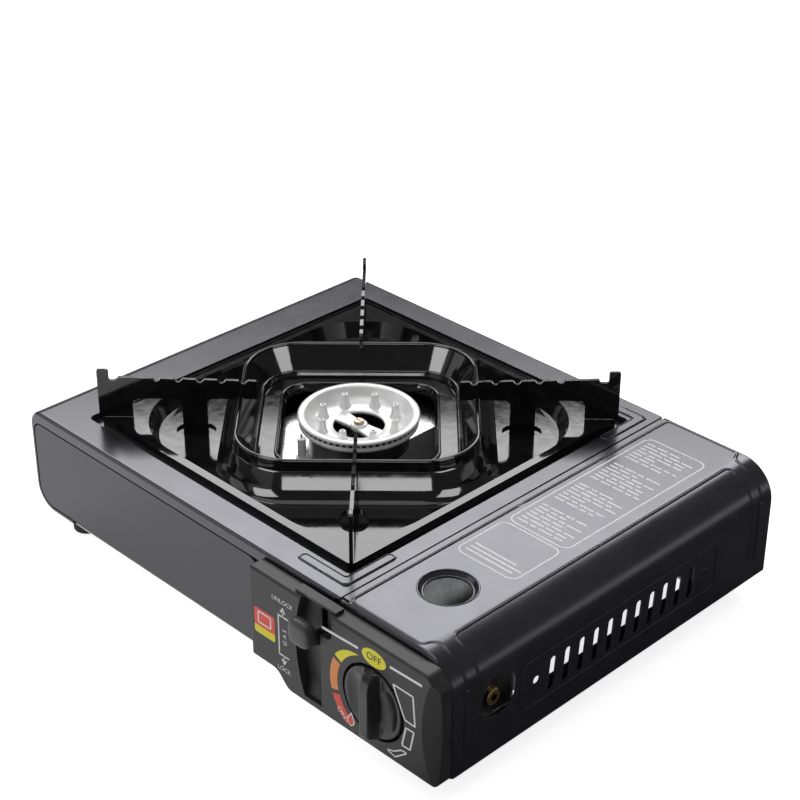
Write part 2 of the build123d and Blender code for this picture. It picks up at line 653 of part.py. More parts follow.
def partition_wall():
    """The galvanised wall between the burner and the cartridge."""
    x1 = PARTITION_X
    x0 = PARTITION_X - SHEET
    high = TOP - SHEET
    sheet = slab(x0, x1, WALL_FRONT + SHEET + 0.1, WALL_BACK - SHEET - 0.1, FLOOR, high)
    low_flange = (x0 - PARTITION_FLANGE, x1, WALL_FRONT + 2, WALL_BACK - 2)
    sheet += slab(*low_flange, FLOOR, FLOOR + SHEET)
    top_left = PAN_X + SEAT_HALF + SHEET + FIT
    sheet += slab(top_left, x1, WALL_FRONT + 2, WALL_BACK - 2, high - SHEET, high)
    sheet -= rod_x(x0 - 1, x1 + 1, NOZZLE_Y, MIXER_Z, NOZZLE_HEX + 2)
    gate = (HEAT_FRONT - 1, HEAT_BACK + 1, FLOOR - 1, FLOOR + HEAT_SHEET + 1)
    sheet -= slab(x0 - PARTITION_FLANGE - 1, x1 + 1, *gate)
    low = PIVOT_Z + CRANK * cos(radians(REST_TILT)) - LINK_HALF - 1
    back = CLAMP_Y + CLAMP_SHEET + 1
    front = CLAMP_Y - CLAMP_TRAVEL - CLAMP_SHEET - 1
    sheet -= slab(x0 - 1, x1 + 1, front, back, low, low + 2 * LINK_HALF + 2)
    sheet -= rod_x(x0 - 1, x1 + 1, WIRE_CROSS_Y, KNOB_Z, WIRE_RADIUS + 0.8)
    sheet -= rod_x(x0 - 1, x1 + 1, PIVOT_Y, PIVOT_Z, PIVOT_RADIUS + 2 * TOUCH)
    return sheet


def foot(side_x, side_y):
    """A rubber foot with a barbed stem pushed through the bottom plate."""
    stem_low = FOOT_HEIGHT - 1
    lap = SHEET if side_x < 0 else 0
    barb = FLOOR + lap + 2 * TOUCH
    body = Cylinder(FOOT_RADIUS, FOOT_HEIGHT - TOUCH, align=(Align.CENTER, Align.CENTER, Align.MIN))
    body = fillet(body.edges().group_by(Axis.Z)[0], 1.2)
    body += rod_z(stem_low, barb + STEM_LENGTH / 2, 0, 0, STEM_RADIUS)
    body += rod_z(barb, barb + STEM_LENGTH / 2, 0, 0, BARB_RADIUS)
    return Pos(side_x * FOOT_X, side_y * FOOT_Y, 0) * body


# ---------------------------------------------------------------- the bay
def canister_lid():
    """Top and side of the bay in one pressed shell, with vents and a viewing hole."""
    shell = folded_block(lid_outline(), 0) - folded_block(lid_outline(SHEET), SHEET)
    mouth = [(LEFT, LID_LOW - FAR), (LEFT, TOP - TOP_LIP)]
    mouth += [(LID_SIDE - LID_SIDE_LIP, TOP - TOP_LIP), (LID_SIDE - LID_SIDE_LIP, LID_LOW - FAR)]
    cut = outline(*mouth, radius=[0, 0, LID_RADIUS - LID_SIDE_LIP, 0])
    shell -= along_y(cut, -FAR, FAR)
    shell -= slab(-2 * FAR, LID_EDGE, -FAR, FAR, -3 * FAR, FAR)
    shell -= slab(-FAR, FAR, -FAR, FAR, -3 * FAR, LID_LOW)
    for y0, y1 in ((FRONT + SHEET, FRONT + SHEET + 2), (BACK - SHEET - 2, BACK - SHEET)):
        shell -= slab(LID_EDGE - 1, HINGE_X + 2 * HINGE_OFFSET, y0, y1, HINGE_Z, TOP + 1)
    shell -= rod_y(-FAR, FAR, HINGE_X, HINGE_Z, PIN_RADIUS + RUNNING / 2)
    shell += side_beads()
    shell = view_hole(shell)
    shell -= rod_x(RIGHT - 3, RIGHT + 1, PORT_Y, PORT_Z, PORT_RADIUS)
    for k in range(VENT_COUNT):
        y = (k - (VENT_COUNT - 1) / 2) * VENT_PITCH
        slot = Pos(y, VENT_Z) * SlotOverall(VENT_LENGTH, VENT_WIDTH, rotation=90 - VENT_LEAN)
        shell -= along_x(slot, RIGHT - 3, RIGHT + 1)
    for side in (-1, 1):
        shell -= rod_x(RIGHT - 3, RIGHT + 1, side * VENT_HOLE_REACH, VENT_Z + 2, VENT_HOLE_RADIUS)
    return shell


def side_beads():
    """Raised beads on the lid's side: one round the vents and one near each end."""
    low = BOTTOM + FIELD_LOW
    high = BOTTOM + FIELD_HIGH
    middle = Pos(0, (low + high) / 2)
    size = (2 * FIELD_HALF, high - low)
    inner = (size[0] - 2 * SIDE_BEAD_WIDTH, size[1] - 2 * SIDE_BEAD_WIDTH)
    ring = RectangleRounded(*size, FIELD_CORNER) - RectangleRounded(*inner, FIELD_CORNER - SIDE_BEAD_WIDTH)
    beads = [along_x(middle * ring, LID_SIDE - SHEET / 2, RIGHT)]
    for end in (FRONT + END_BEAD_INSET, BACK - END_BEAD_INSET):
        bar = Pos(end, VENT_Z + 4) * SlotOverall(END_BEAD_LENGTH, 2 * SIDE_BEAD_WIDTH, rotation=90)
        beads.append(along_x(bar, LID_SIDE - SHEET / 2, RIGHT))
    return [fillet(bead.faces().sort_by(Axis.X)[-1].edges(), SIDE_BEAD_RISE * 0.8) for bead in beads]


def view_hole(shell):
    """A dished hole over the cartridge's collar."""
    slope = [(VIEW_RADIUS, TOP), (VIEW_THROAT, TOP - VIEW_DEPTH)]
    ring = [slope[0], slope[1], (VIEW_THROAT, TOP - VIEW_DEPTH - SHEET)]
    ring += [(VIEW_THROAT + SHEET, TOP - VIEW_DEPTH - SHEET), (VIEW_RADIUS + SHEET, TOP - SHEET)]
    ring += [(VIEW_RADIUS + SHEET, TOP)]
    dish = revolve(Plane.XZ * make_face(Polyline(*ring, close=True)), Axis.Z)
    shell -= rod_z(TOP - 3 * SHEET, TOP + 1, VIEW_X, VIEW_Y, VIEW_RADIUS + SHEET / 2)
    return shell + Pos(VIEW_X, VIEW_Y, 0) * dish


def hinge_pin(side):
    """A pin fixed in the lid's lip; it turns in the end plate."""
    outside = FRONT + TOUCH if side < 0 else BACK - TOUCH
    inside = outside - side * PIN_LENGTH
    return rod_y(min(outside, inside), max(outside, inside), HINGE_X, HINGE_Z, PIN_RADIUS)


def bay_opening():
    """The gap in the floor of the bay, which lets air in and the cartridge be pushed out."""
    y0 = CARTRIDGE_START + OPENING_FRONT
    y1 = CARTRIDGE_END - OPENING_BACK
    return Pos(BAY_X, (y0 + y1) / 2) * RectangleRounded(2 * OPENING_HALF, y1 - y0, WELL_CORNER)


def canister_cradle():
    """Two rails that hold the cartridge level, on the well's floor."""
    y0 = CLAMP_Y + CLAMP_SHEET + 1.5
    y1 = CARTRIDGE_END - 6
    low = WELL_FLOOR
    reach = RAIL_SPREAD + RAIL_FOOT
    tray = slab(BAY_X - reach, BAY_X + reach, y0, y1, low, low + SHEET)
    for side in (-1, 1):
        x = BAY_X + side * RAIL_SPREAD
        tray += slab(x - SHEET / 2, x + SHEET / 2, y0, y1, low, RAIL_TOP)
    gate = (BAY_X - reach - 1, BAY_X, HEAT_FRONT - 1, HEAT_BACK + 1)
    tray -= slab(*gate, FLOOR - 0.5, RAIL_TOP + 1)
    return tray - along_z(bay_opening(), low - 1, low + SHEET + 1)


# ---------------------------------------------------------------- pan and pot supports
WING_TURNS = {"back_right": 45, "back_left": 135, "front_left": 225, "front_right": 315}


def drip_pan():
    """Enamelled pan with a drawn ring round the burner."""
    t = PAN_SHEET
    low = PAN_FLOOR - t
    floor_half = WELL_TOP_HALF - WELL_SLOPE
    floor_corner = WELL_TOP_CORNER - WELL_SLOPE
    edge = rounded_square(PAN_HALF, PAN_CORNER)
    edge_inside = rounded_square(PAN_HALF - t, PAN_CORNER - t)
    mouth = rounded_square(WELL_TOP_HALF, WELL_TOP_CORNER)
    pan = plate_ring(edge, edge_inside, PAN_BOTTOM, PAN_RIM)
    pan += plate_ring(edge, mouth, PAN_LEDGE - t, PAN_LEDGE)
    pan += wall(floor_half, floor_corner, low, WELL_TOP_HALF, WELL_TOP_CORNER, PAN_LEDGE, t)
    foot_half = RING_HALF + RING_FLARE - t / 2
    ring_foot = Rot(0, 0, 45) * rounded_square(foot_half, RING_CORNER)
    pan += plate_ring(rounded_square(floor_half + t / 2, floor_corner), ring_foot, low, PAN_FLOOR)
    pan += Rot(0, 0, 45) * drawn_ring(low)
    for turn in WING_TURNS.values():
        place = Rot(0, 0, turn) * Pos(LEG_OUT - LEG_WIDTH / 2, 0, 0)
        pan -= place * socket_hollow(low - 1, PAN_FLOOR + 1, 0)
        pan += place * foot_socket()
    return over_pan(pan)


def socket_hollow(z0, z1, inset):
    size = (SOCKET_LENGTH - 2 * inset, SOCKET_WIDTH - 2 * inset)
    return along_z(RectangleRounded(*size, SOCKET_WIDTH / 2 - inset - 0.1), z0, z1)


def foot_socket():
    """Oval dish pressed into the pan's floor, with the slot for a support's foot."""
    t = PAN_SHEET
    dish = socket_hollow(SOCKET_FLOOR - t, PAN_FLOOR, -t / 2) - socket_hollow(SOCKET_FLOOR, PAN_FLOOR + 1, t / 2)
    half_x = LEG_WIDTH / 2 + FIT
    half_y = WING_THICKNESS / 2 + FIT
    return dish - slab(-half_x, half_x, -half_y, half_y, SOCKET_FLOOR - 2 * t, PAN_FLOOR + 1)


def drawn_ring(low):
    """Outer wall, folded crest, inner wall, shelf and throat, drawn square to X and Y."""
    t = PAN_SHEET
    base = RING_HALF + RING_FLARE - t
    step_z = RING_TOP - STEP_DROP
    shelf_z = RING_TOP - SHELF_DROP
    throat_z = RING_TOP - THROAT_DROP
    crest_in = RING_HALF - CREST
    corner_in = RING_CORNER - CREST
    step_corner = corner_in - (crest_in - STEP_HALF) * 0.8
    shelf_corner = step_corner - (STEP_HALF - SHELF_HALF)
    throat_corner = THROAT_CORNER + (THROAT_TOP_HALF - THROAT_HALF)
    ring = wall(base, RING_CORNER, low, RING_HALF - t, RING_CORNER - t, RING_TOP - CREST_HEIGHT, t)
    bead = plate_ring(
        rounded_square(RING_HALF, RING_CORNER), rounded_square(crest_in, corner_in), RING_TOP - CREST_HEIGHT, RING_TOP
    )
    ring += fillet(bead.edges().group_by(Axis.Z)[-1], CREST_FILLET)
    ring += wall(STEP_HALF, step_corner, step_z - t, crest_in, corner_in, RING_TOP - CREST_HEIGHT, t)
    ring += wall(SHELF_HALF, shelf_corner, shelf_z - t, STEP_HALF, step_corner, step_z, t)
    shelf = (rounded_square(SHELF_HALF + t / 2, shelf_corner), rounded_square(THROAT_TOP_HALF, throat_corner))
    ring += plate_ring(*shelf, shelf_z - t, shelf_z)
    ring += wall(THROAT_HALF, THROAT_CORNER, throat_z, THROAT_TOP_HALF, throat_corner, shelf_z, t)
    return ring


def wing_outline():
    """One pot support, as (distance from the axis, height)."""
    top_out = RING_TOP + WING_RISE_OUT
    top_in = RING_TOP + WING_RISE_IN
    bar = RING_TOP - BAR_DROP
    spike = RING_TOP + SPIKE_HEIGHT
    post_low = PAN_RIM + TOUCH
    leg_low = SOCKET_FLOOR - LEG_TAB
    post_in = WING_OUT - POST_WIDTH
    leg_in = LEG_OUT - LEG_WIDTH
    nick = [WING_OUT - SPIKE_WIDTH, WING_OUT - 2 * SPIKE_WIDTH + 1.6]
    shape = [(WING_OUT, post_low, 0), (WING_OUT, spike, 1), (nick[0], spike, 1.5)]
    shape += [(nick[0], top_out - 2.2, 1), (nick[1], top_out - 2.2, 1), (nick[1] - 0.4, top_out, 0.5)]
    span = nick[1] - WING_IN
    for k in range(NICK_COUNT):
        middle = WING_OUT - NICK_SETBACK - k * NICK_PITCH
        level = top_in + (top_out - top_in) * (middle - WING_IN) / span
        half = NICK_WIDTH / 2
        shape += [(middle + half, level, 0.3), (middle + half - 1.5, level - NICK_DEPTH, 0.3)]
        shape += [(middle - half + 1.5, level - NICK_DEPTH, 0.3), (middle - half, level, 0.3)]
    shape += [(WING_IN, top_in, 1), (WING_IN, bar, 1)]
    notch = (RING_HALF - CREST - 0.8, RING_HALF + 0.8)
    shape += [(notch[0], bar, 0), (notch[0], RING_TOP + 2 * TOUCH, 0.3)]
    shape += [(notch[1], RING_TOP + 2 * TOUCH, 0.3), (notch[1], bar, 0)]
    shape += [(leg_in, bar, ARCH_RADIUS), (leg_in, leg_low, 1), (LEG_OUT, leg_low, 1)]
    shape += [(LEG_OUT, bar, ARCH_RADIUS), (post_in, bar, ARCH_RADIUS), (post_in, post_low, 0)]
    points = [(s, z) for s, z, radius in shape]
    return outline(*points, radius=[radius for s, z, radius in shape])


def pot_support(turn):
    blade = along_y(wing_outline(), -WING_THICKNESS / 2, WING_THICKNESS / 2)
    return over_pan(blade, turn)


# ---------------------------------------------------------------- burner
def burner_head():
    """Cast head: rim, slotted band, dish with eight posts, and a spoke across the hole."""
    rim_low = BURNER_TOP - RIM_THICKNESS
    band_low = rim_low - BAND_HEIGHT
    section = [(HEAD_HOLE, DISH_FLOOR - 1.5), (HEAD_HOLE, DISH_FLOOR)]
    section += [(BURNER_DISH_RADIUS - 2.5, DISH_FLOOR), (BURNER_DISH_RADIUS, BURNER_TOP - 1)]
    section += [(BURNER_DISH_RADIUS + 1, BURNER_TOP), (BURNER_RIM_RADIUS - 0.8, BURNER_TOP)]
    section += [(BURNER_RIM_RADIUS, BURNER_TOP - 0.7), (BURNER_RIM_RADIUS, rim_low)]
    section += [(BAND_RADIUS, rim_low), (BAND_RADIUS, band_low), (BURNER_RIM_RADIUS - 0.7, band_low)]
    section += [(BURNER_RIM_RADIUS - 0.7, HEAD_BOTTOM + 0.6), (BAND_RADIUS, HEAD_BOTTOM)]
    section += [(CUP_RADIUS - 2, HEAD_BOTTOM), (CUP_RADIUS - 2, DISH_FLOOR - 1.5)]
    head = revolve(Plane.XZ * make_face(Polyline(*section, close=True)), Axis.Z)
    cutter = slab(BAND_RADIUS - SLOT_DEPTH, BAND_RADIUS + 1.4, -SLOT_WIDTH / 2, SLOT_WIDTH / 2, band_low + 0.5, rim_low)
    cutters = [Rot(0, 0, 360 / SLOT_COUNT * k) * cutter for k in range(SLOT_COUNT)]
    head -= cutters
    for k in range(POST_COUNT):
        head += Rot(0, 0, 360 / POST_COUNT * (k + 0.5)) * Pos(POST_CIRCLE, 0, 0) * burner_post()
    half = SPOKE_WIDTH / 2
    reach = HEAD_HOLE + 0.5
    head += slab(-reach, reach, -half, half, DISH_FLOOR - SPOKE_THICKNESS, DISH_FLOOR)
    boss_top = DISH_FLOOR - SPOKE_THICKNESS + BOSS_HEIGHT
    head += rod_z(DISH_FLOOR - SPOKE_THICKNESS, boss_top, 0, 0, BOSS_RADIUS)
    head -= rod_z(0, FAR, 0, 0, SCREW_RADIUS + RUNNING)
    for k in range(POST_COUNT):
        bore = rod_z(DISH_FLOOR + 1, FAR, POST_CIRCLE, 0, POST_BORE)
        head -= Rot(0, 0, 360 / POST_COUNT * (k + 0.5)) * bore
    return over_pan(head)


def burner_post():
    top = DISH_FLOOR + POST_HEIGHT
    side = [(0, DISH_FLOOR - 0.5), (POST_BASE_RADIUS, DISH_FLOOR - 0.5), (POST_TOP_RADIUS, top - 0.4)]
    side += [(POST_TOP_RADIUS - 0.4, top), (0, top)]
    return revolve(Plane.XZ * make_face(Polyline(*side, close=True)), Axis.Z)


def burner_cup():
    """Steel cup under the head, with a flange that the head sits on."""
    low = BRIDGE_TOP + TOUCH
    high = HEAD_BOTTOM - TOUCH
    cup = rod_z(low, high, 0, 0, CUP_RADIUS) - rod_z(low + CUP_SHEET, high, 0, 0, CUP_RADIUS - CUP_SHEET)
    cup += rod_z(high - CUP_SHEET, high, 0, 0, CUP_FLANGE) - rod_z(0, FAR, 0, 0, CUP_RADIUS - CUP_SHEET)
    cup -= rod_z(low - 1, low + 2, 0, 0, MIXER_RADIUS + FIT)
    return over_pan(cup)


def burner_screw():
    """Brass screw that draws the head down on to the mixing tube's cross-bar."""
    seat = DISH_FLOOR - SPOKE_THICKNESS + BOSS_HEIGHT + TOUCH
    screw = rod_z(seat, seat + SCREW_HEAD_HEIGHT, 0, 0, SCREW_HEAD_RADIUS)
    screw = fillet(screw.edges().group_by(Axis.Z)[-1], 0.7)
    screw -= slab(-4, 4, -0.4, 0.4, seat + SCREW_HEAD_HEIGHT - 0.7, seat + SCREW_HEAD_HEIGHT + 1)
    screw += rod_z(BRIDGE_TOP + 1.0, seat, 0, 0, SCREW_RADIUS)
    return over_pan(screw)


def burner_bridge():
    """Bright plate that carries the burner, folded down to two feet on the bottom plate."""
    t = SHEET
    plate = slab(BRIDGE_LEFT, BRIDGE_RIGHT, -BRIDGE_HALF, BRIDGE_HALF, BRIDGE_TOP - t, BRIDGE_TOP)
    for side in (-1, 1):
        edge = side * BRIDGE_HALF
        y0, y1 = sorted((edge, edge - side * t))
        plate += slab(BRIDGE_LEFT, BRIDGE_RIGHT, y0, y1, FLOOR, BRIDGE_TOP)
        y0, y1 = sorted((edge, edge + side * BRIDGE_FOOT))
        plate += slab(BRIDGE_LEFT, BRIDGE_RIGHT, y0, y1, FLOOR, FLOOR + t)
    plate -= over_pan(rod_z(BRIDGE_TOP - 2, BRIDGE_TOP + 1, 0, 0, MIXER_RADIUS + FIT))
    plate -= rod_z(BRIDGE_TOP - 2, BRIDGE_TOP + 1, ELECTRODE_X, ELECTRODE_Y, CERAMIC_RADIUS + 2 * TOUCH)
    return plate


def heat_plate():
    """Aluminium strip that carries a little heat from the burner to the cartridge."""
    t = HEAT_SHEET
    x0 = BRIDGE_RIGHT + TOUCH
    x1 = BAY_X - RAIL_SPREAD + SHEET + HEAT_REACH
    low = FLOOR + TOUCH
    strip = slab(x0, x1, HEAT_FRONT, HEAT_BACK, low, low + t)
    return strip + slab(x0, x0 + t, HEAT_FRONT, HEAT_BACK, low, BRIDGE_TOP)


# ---------------------------------------------------------------- gas line
def mixer_path():
    corners = [(MIXER_START, NOZZLE_Y, MIXER_Z), (MIXER_BEND_X, NOZZLE_Y, MIXER_Z)]
    corners += [(PAN_X, 0, MIXER_Z), (PAN_X, 0, BRIDGE_TOP + 2)]
    return FilletPolyline(*corners, radius=[MIXER_BEND_RADIUS, MIXER_RISE_RADIUS])


def swept_rod(path, radius):
    return sweep((path ^ 0) * Circle(radius), path=path)


def mixing_tube():
    """Tube that draws in air at its bell and carries the mixture to the burner."""
    path = mixer_path()
    tube = swept_rod(path, MIXER_RADIUS)
    bore = swept_rod(path, MIXER_RADIUS - MIXER_WALL)
    tube += rod_x(MIXER_START - BELL_LENGTH, MIXER_START, NOZZLE_Y, MIXER_Z, BELL_RADIUS)
    bell_bore = rod_x(MIXER_START - BELL_LENGTH + 1, MIXER_START + 1, NOZZLE_Y, MIXER_Z, BELL_RADIUS - 1)
    return tube - bore - bell_bore


def gas_nozzle():
    tip_reach = REGULATOR_LEFT - 6.0
    body = hexagon_x(PARTITION_X - 6, tip_reach, NOZZLE_Y, MIXER_Z, NOZZLE_HEX)
    body += rod_x(NOZZLE_TIP, PARTITION_X - 6, NOZZLE_Y, MIXER_Z, NOZZLE_RADIUS)
    return body - rod_x(NOZZLE_TIP - 1, tip_reach + 1, NOZZLE_Y, MIXER_Z, 0.6)


def regulator_posts():
    """Screw posts, clear of the cam and the igniter."""
    return [(REGULATOR_LEFT + 7, REGULATOR_LOW + 4), (REGULATOR_RIGHT - 4, REGULATOR_HIGH - 4)]


def regulator_body():
    """Die-cast valve block with its screw posts, outlet boss and round pressure chamber."""
    box = (REGULATOR_LEFT, REGULATOR_RIGHT, REGULATOR_FRONT, REGULATOR_BACK, REGULATOR_LOW, REGULATOR_HIGH)
    block = fillet(slab(*box).edges().filter_by(Axis.Y), 5.0)
    block += rod_x(REGULATOR_LEFT - 6 + TOUCH, REGULATOR_LEFT + 1, NOZZLE_Y, MIXER_Z, NOZZLE_HEX + 1)
    chamber = (REGULATOR_LEFT + CHAMBER_RADIUS - 3, REGULATOR_HIGH - CHAMBER_RADIUS + 3)
    block += rod_y(REGULATOR_FRONT, REGULATOR_BACK, *chamber, CHAMBER_RADIUS)
    block += rod_x(REGULATOR_RIGHT - INLET_BOSS, REGULATOR_RIGHT, INLET_Y, INLET_Z, INLET_HEX + 1)
    for x, z in regulator_posts():
        block += rod_y(PLATE_FRONT + SHEET + TOUCH, REGULATOR_FRONT + 1, x, z, REGULATOR_POST)
        block -= rod_y(PLATE_FRONT - 1, REGULATOR_FRONT + 4, x, z, FASTENER_RADIUS + 0.1)
    block -= rod_y(REGULATOR_FRONT - 1, SPINDLE_END + 0.5, KNOB_X, KNOB_Z, SPINDLE_RADIUS + RUNNING)
    return block


def canister_connector():
    """Socket ring with the locating tab that enters the cartridge collar's notch."""
    y0 = REGULATOR_BACK + TOUCH
    y1 = y0 + CONNECTOR_LENGTH
    ring = rod_y(y0, y1, BAY_X, CARTRIDGE_Z, CONNECTOR_RADIUS)
    ring -= rod_y(y0 + 1.5, y1 + 1, BAY_X, CARTRIDGE_Z, CONNECTOR_BORE)
    tab_top = CARTRIDGE_Z + CONNECTOR_RADIUS + 2.4
    tab = slab(BAY_X - 2.5, BAY_X + 2.5, y0, y1, CARTRIDGE_Z + CONNECTOR_RADIUS - 2, tab_top)
    return ring + tab


def connector_seal():
    y0 = REGULATOR_BACK + TOUCH + 1.5 + TOUCH
    ring = rod_y(y0, y0 + 2.5, BAY_X, CARTRIDGE_Z, SEAL_RADIUS)
    return ring - rod_y(y0 - 1, y0 + 4, BAY_X, CARTRIDGE_Z, 2.0)


def gas_inlet():
    """Brass hose inlet behind the port in the lid's side."""
    x0 = REGULATOR_RIGHT + TOUCH
    hexagon = hexagon_x(x0, x0 + 6, INLET_Y, INLET_Z, INLET_HEX)
    barrel = rod_x(x0 + 6, INLET_REACH, INLET_Y, INLET_Z, INLET_RADIUS)
    barrel = chamfer(barrel.faces().sort_by(Axis.X)[-1].edges(), 0.6)
    return hexagon + barrel - rod_x(INLET_REACH - 9, INLET_REACH + 1, INLET_Y, INLET_Z, INLET_BORE)


# ---------------------------------------------------------------- controls
def panel_outline(inset=0.0):
    left = PANEL_LEFT + inset
    right = PANEL_RIGHT - inset
    top = PANEL_TOP - inset
    low = PANEL_LOW + inset
    corners = [(left, PANEL_LOW_LEFT + inset), (left, top), (right - PANEL_BEVEL, top)]
    corners += [(right, top - PANEL_BEVEL), (right, low)]
    corners += [(PANEL_STEP_X + PANEL_STEP_RUN, low), (PANEL_STEP_X, PANEL_LOW_LEFT + inset)]
    return outline(*corners, radius=[2, 1.5, 4, 4, 4, 8, 8])


def panel_posts():
    """Screw posts that join the control panel to the front plate."""
    low = BOTTOM + 10.5
    left = PANEL_LEFT + 9
    return [(left, low + 5.5), (left, PANEL_TOP - 10.6), (PANEL_RIGHT - 12, low + 0.5), (NOOK_RIGHT + 5.5, low)]


def cheek(back=0.0):
    """The shallow cone that turns the face back at the panel's right end."""
    rise = PANEL_FILLET + CHEEK_FALL
    spread = CHEEK_START / CHEEK_FALL
    axis_x = PANEL_RIGHT - CHEEK_START + CHEEK_RADIUS
    near = (CHEEK_RADIUS + PANEL_FILLET * spread, PANEL_FACE - PANEL_FILLET + back)
    deep = (CHEEK_RADIUS - rise * spread, PANEL_FACE + rise + back)
    side = Polyline((0, near[1]), near, deep, (0, deep[1]), close=True)
    cone = revolve(make_face(side), Axis.Y)
    return Pos(axis_x, 0, (PANEL_TOP + PANEL_LOW) / 2) * cone


def track_outline(inset=0.0):
    """The lever's opening: straight on the right, bowed out on the left."""
    x0 = TRACK_LEFT + inset
    x1 = TRACK_RIGHT - inset
    z0 = TRACK_LOW + inset
    z1 = TRACK_HIGH - inset
    tuck = TRACK_WIDTH * 0.3
    bow = ThreePointArc((x0 + tuck, z0), (x0, z0 + 0.45 * (z1 - z0)), (x0 + tuck * 0.8, z1))
    rest = Polyline((x0 + tuck * 0.8, z1), (x1, z1), (x1, z0), (x0 + tuck, z0))
    return make_face([bow, rest])


def track_shape(inset=0.0):
    """The opening cut down to its floor, which ramps up at the low end."""
    ramp = TRACK_LOW + TRACK_RAMP
    side = [(PANEL_FACE - 1, TRACK_LOW - 5), (PANEL_FACE - 1, TRACK_HIGH + 5)]
    side += [(TRACK_FLOOR - inset, TRACK_HIGH + 5), (TRACK_FLOOR - inset, ramp)]
    side += [(PANEL_FACE + TRACK_END_DEPTH - inset, TRACK_LOW), (PANEL_FACE + TRACK_END_DEPTH - inset, TRACK_LOW - 5)]
    depth = along_x(make_face(Polyline(*side, close=True)), -FAR, FAR)
    nook = Pos((TRACK_RIGHT + NOOK_RIGHT) / 2 - 2, (NOOK_LOW + TRACK_HIGH) / 2)
    nook *= RectangleRounded(NOOK_RIGHT - TRACK_RIGHT + 4 - 2 * inset, NOOK_HEIGHT - 2 * inset, 4.0 - inset)
    opening = along_y(track_outline(inset), PANEL_FACE - 1, PANEL_BACK)
    return (opening + along_y(nook, PANEL_FACE - 1, PANEL_BACK)) & depth


def control_panel():
    """Moulded panel, open at the back, with the lever's track and the dial's pocket."""
    block = along_y(panel_outline(), PANEL_FACE, PANEL_BACK)
    face = block.faces().sort_by(Axis.Y)[0]
    block = fillet(face.edges(), PANEL_FILLET) - cheek()
    block -= along_y(panel_outline(PANEL_SKIN), PANEL_FACE + PANEL_SKIN, PANEL_BACK + 1) - cheek(PANEL_SKIN)
    t = RECESS_WALL
    pocket_radius = KNOB_RADIUS + KNOB_GAP
    block += rod_y(PANEL_FACE + PANEL_SKIN, DIAL_FLOOR + t, KNOB_X, KNOB_Z, pocket_radius + t)
    tray = (PANEL_FACE + PANEL_SKIN, TRACK_FLOOR + t, TRACK_LOW - t, TRACK_HIGH + t)
    block += slab(TRACK_LEFT - t, TRACK_RIGHT + t, *tray)
    block += slab(TRACK_RIGHT, NOOK_RIGHT + t, PANEL_FACE + PANEL_SKIN, TRACK_FLOOR + t, NOOK_LOW - t, TRACK_HIGH + t)
    block -= rod_y(PANEL_FACE - 1, DIAL_FLOOR, KNOB_X, KNOB_Z, pocket_radius)
    block -= rod_y(PANEL_FACE - 1, PANEL_BACK + 1, KNOB_X, KNOB_Z, HUB_RADIUS + FIT)
    block -= track_shape()
    half = LEVER_SLOT / 2
    block -= slab(LEVER_X - half, LEVER_X + half, PANEL_FACE, PANEL_BACK + 1, TRACK_LOW + 4, TRACK_HIGH - 1)
    for x, z in panel_posts():
        block += rod_y(PANEL_FACE + PANEL_SKIN / 2, PLATE_FRONT - TOUCH, x, z, 3.0)
        block -= rod_y(PANEL_FACE + PANEL_SKIN, PLATE_FRONT, x, z, FASTENER_RADIUS + 0.1)
    return block


def knob():
    """Low dial with a scooped face and one raised grip across it."""
    disc = rod_y(KNOB_FACE, KNOB_REAR, KNOB_X, KNOB_Z, KNOB_RADIUS)
    disc = fillet(disc.faces().sort_by(Axis.Y)[0].edges(), 0.8)
    for side in (-1, 1):
        disc -= knob_scoop(KNOB_X + side * SCOOP_OFFSET)
    base = KNOB_FACE + SCOOP_DEPTH + 0.5
    front = KNOB_FACE - GRIP_HEIGHT
    bar = outline(
        (KNOB_X - GRIP_BASE_HALF, base), (KNOB_X + GRIP_BASE_HALF, base),
        (KNOB_X + GRIP_TOP_HALF, front), (KNOB_X - GRIP_TOP_HALF, front),
        radius=[0, 0, 1.6, 1.6],
    )
    grip = along_z(bar, KNOB_Z - FAR, KNOB_Z + FAR)
    reach = KNOB_RADIUS - 0.8
    side = outline(
        (base, KNOB_Z - reach), (front, KNOB_Z - reach), (front, KNOB_Z + reach * 0.6),
        (front + 2.6, KNOB_Z + reach * 0.92), (base, KNOB_Z + reach),
        radius=[0, 1.5, 7, 4, 0],
    )
    grip = grip & along_x(side, KNOB_X - FAR, KNOB_X + FAR)
    grip = grip & rod_y(front - 1, base + 1, KNOB_X, KNOB_Z, reach)
    hub = rod_y(KNOB_REAR - 1, PANEL_BACK - 0.6, KNOB_X, KNOB_Z, HUB_RADIUS)
    return disc + grip + hub - rod_y(KNOB_FACE + 2.5, PANEL_BACK, KNOB_X, KNOB_Z, SPINDLE_RADIUS + TOUCH)


def knob_scoop(x):
    """A finger hollow beside the grip."""
    hollow = along_y(Pos(x, KNOB_Z) * Ellipse(SCOOP_HALF_WIDTH, SCOOP_HALF_HEIGHT), KNOB_FACE - 1, KNOB_FACE + SCOOP_DEPTH)
    return fillet(hollow.faces().sort_by(Axis.Y)[-1].edges(), SCOOP_FILLET)


def valve_spindle():
    return rod_y(KNOB_FACE + 3, SPINDLE_END, KNOB_X, KNOB_Z, SPINDLE_RADIUS)


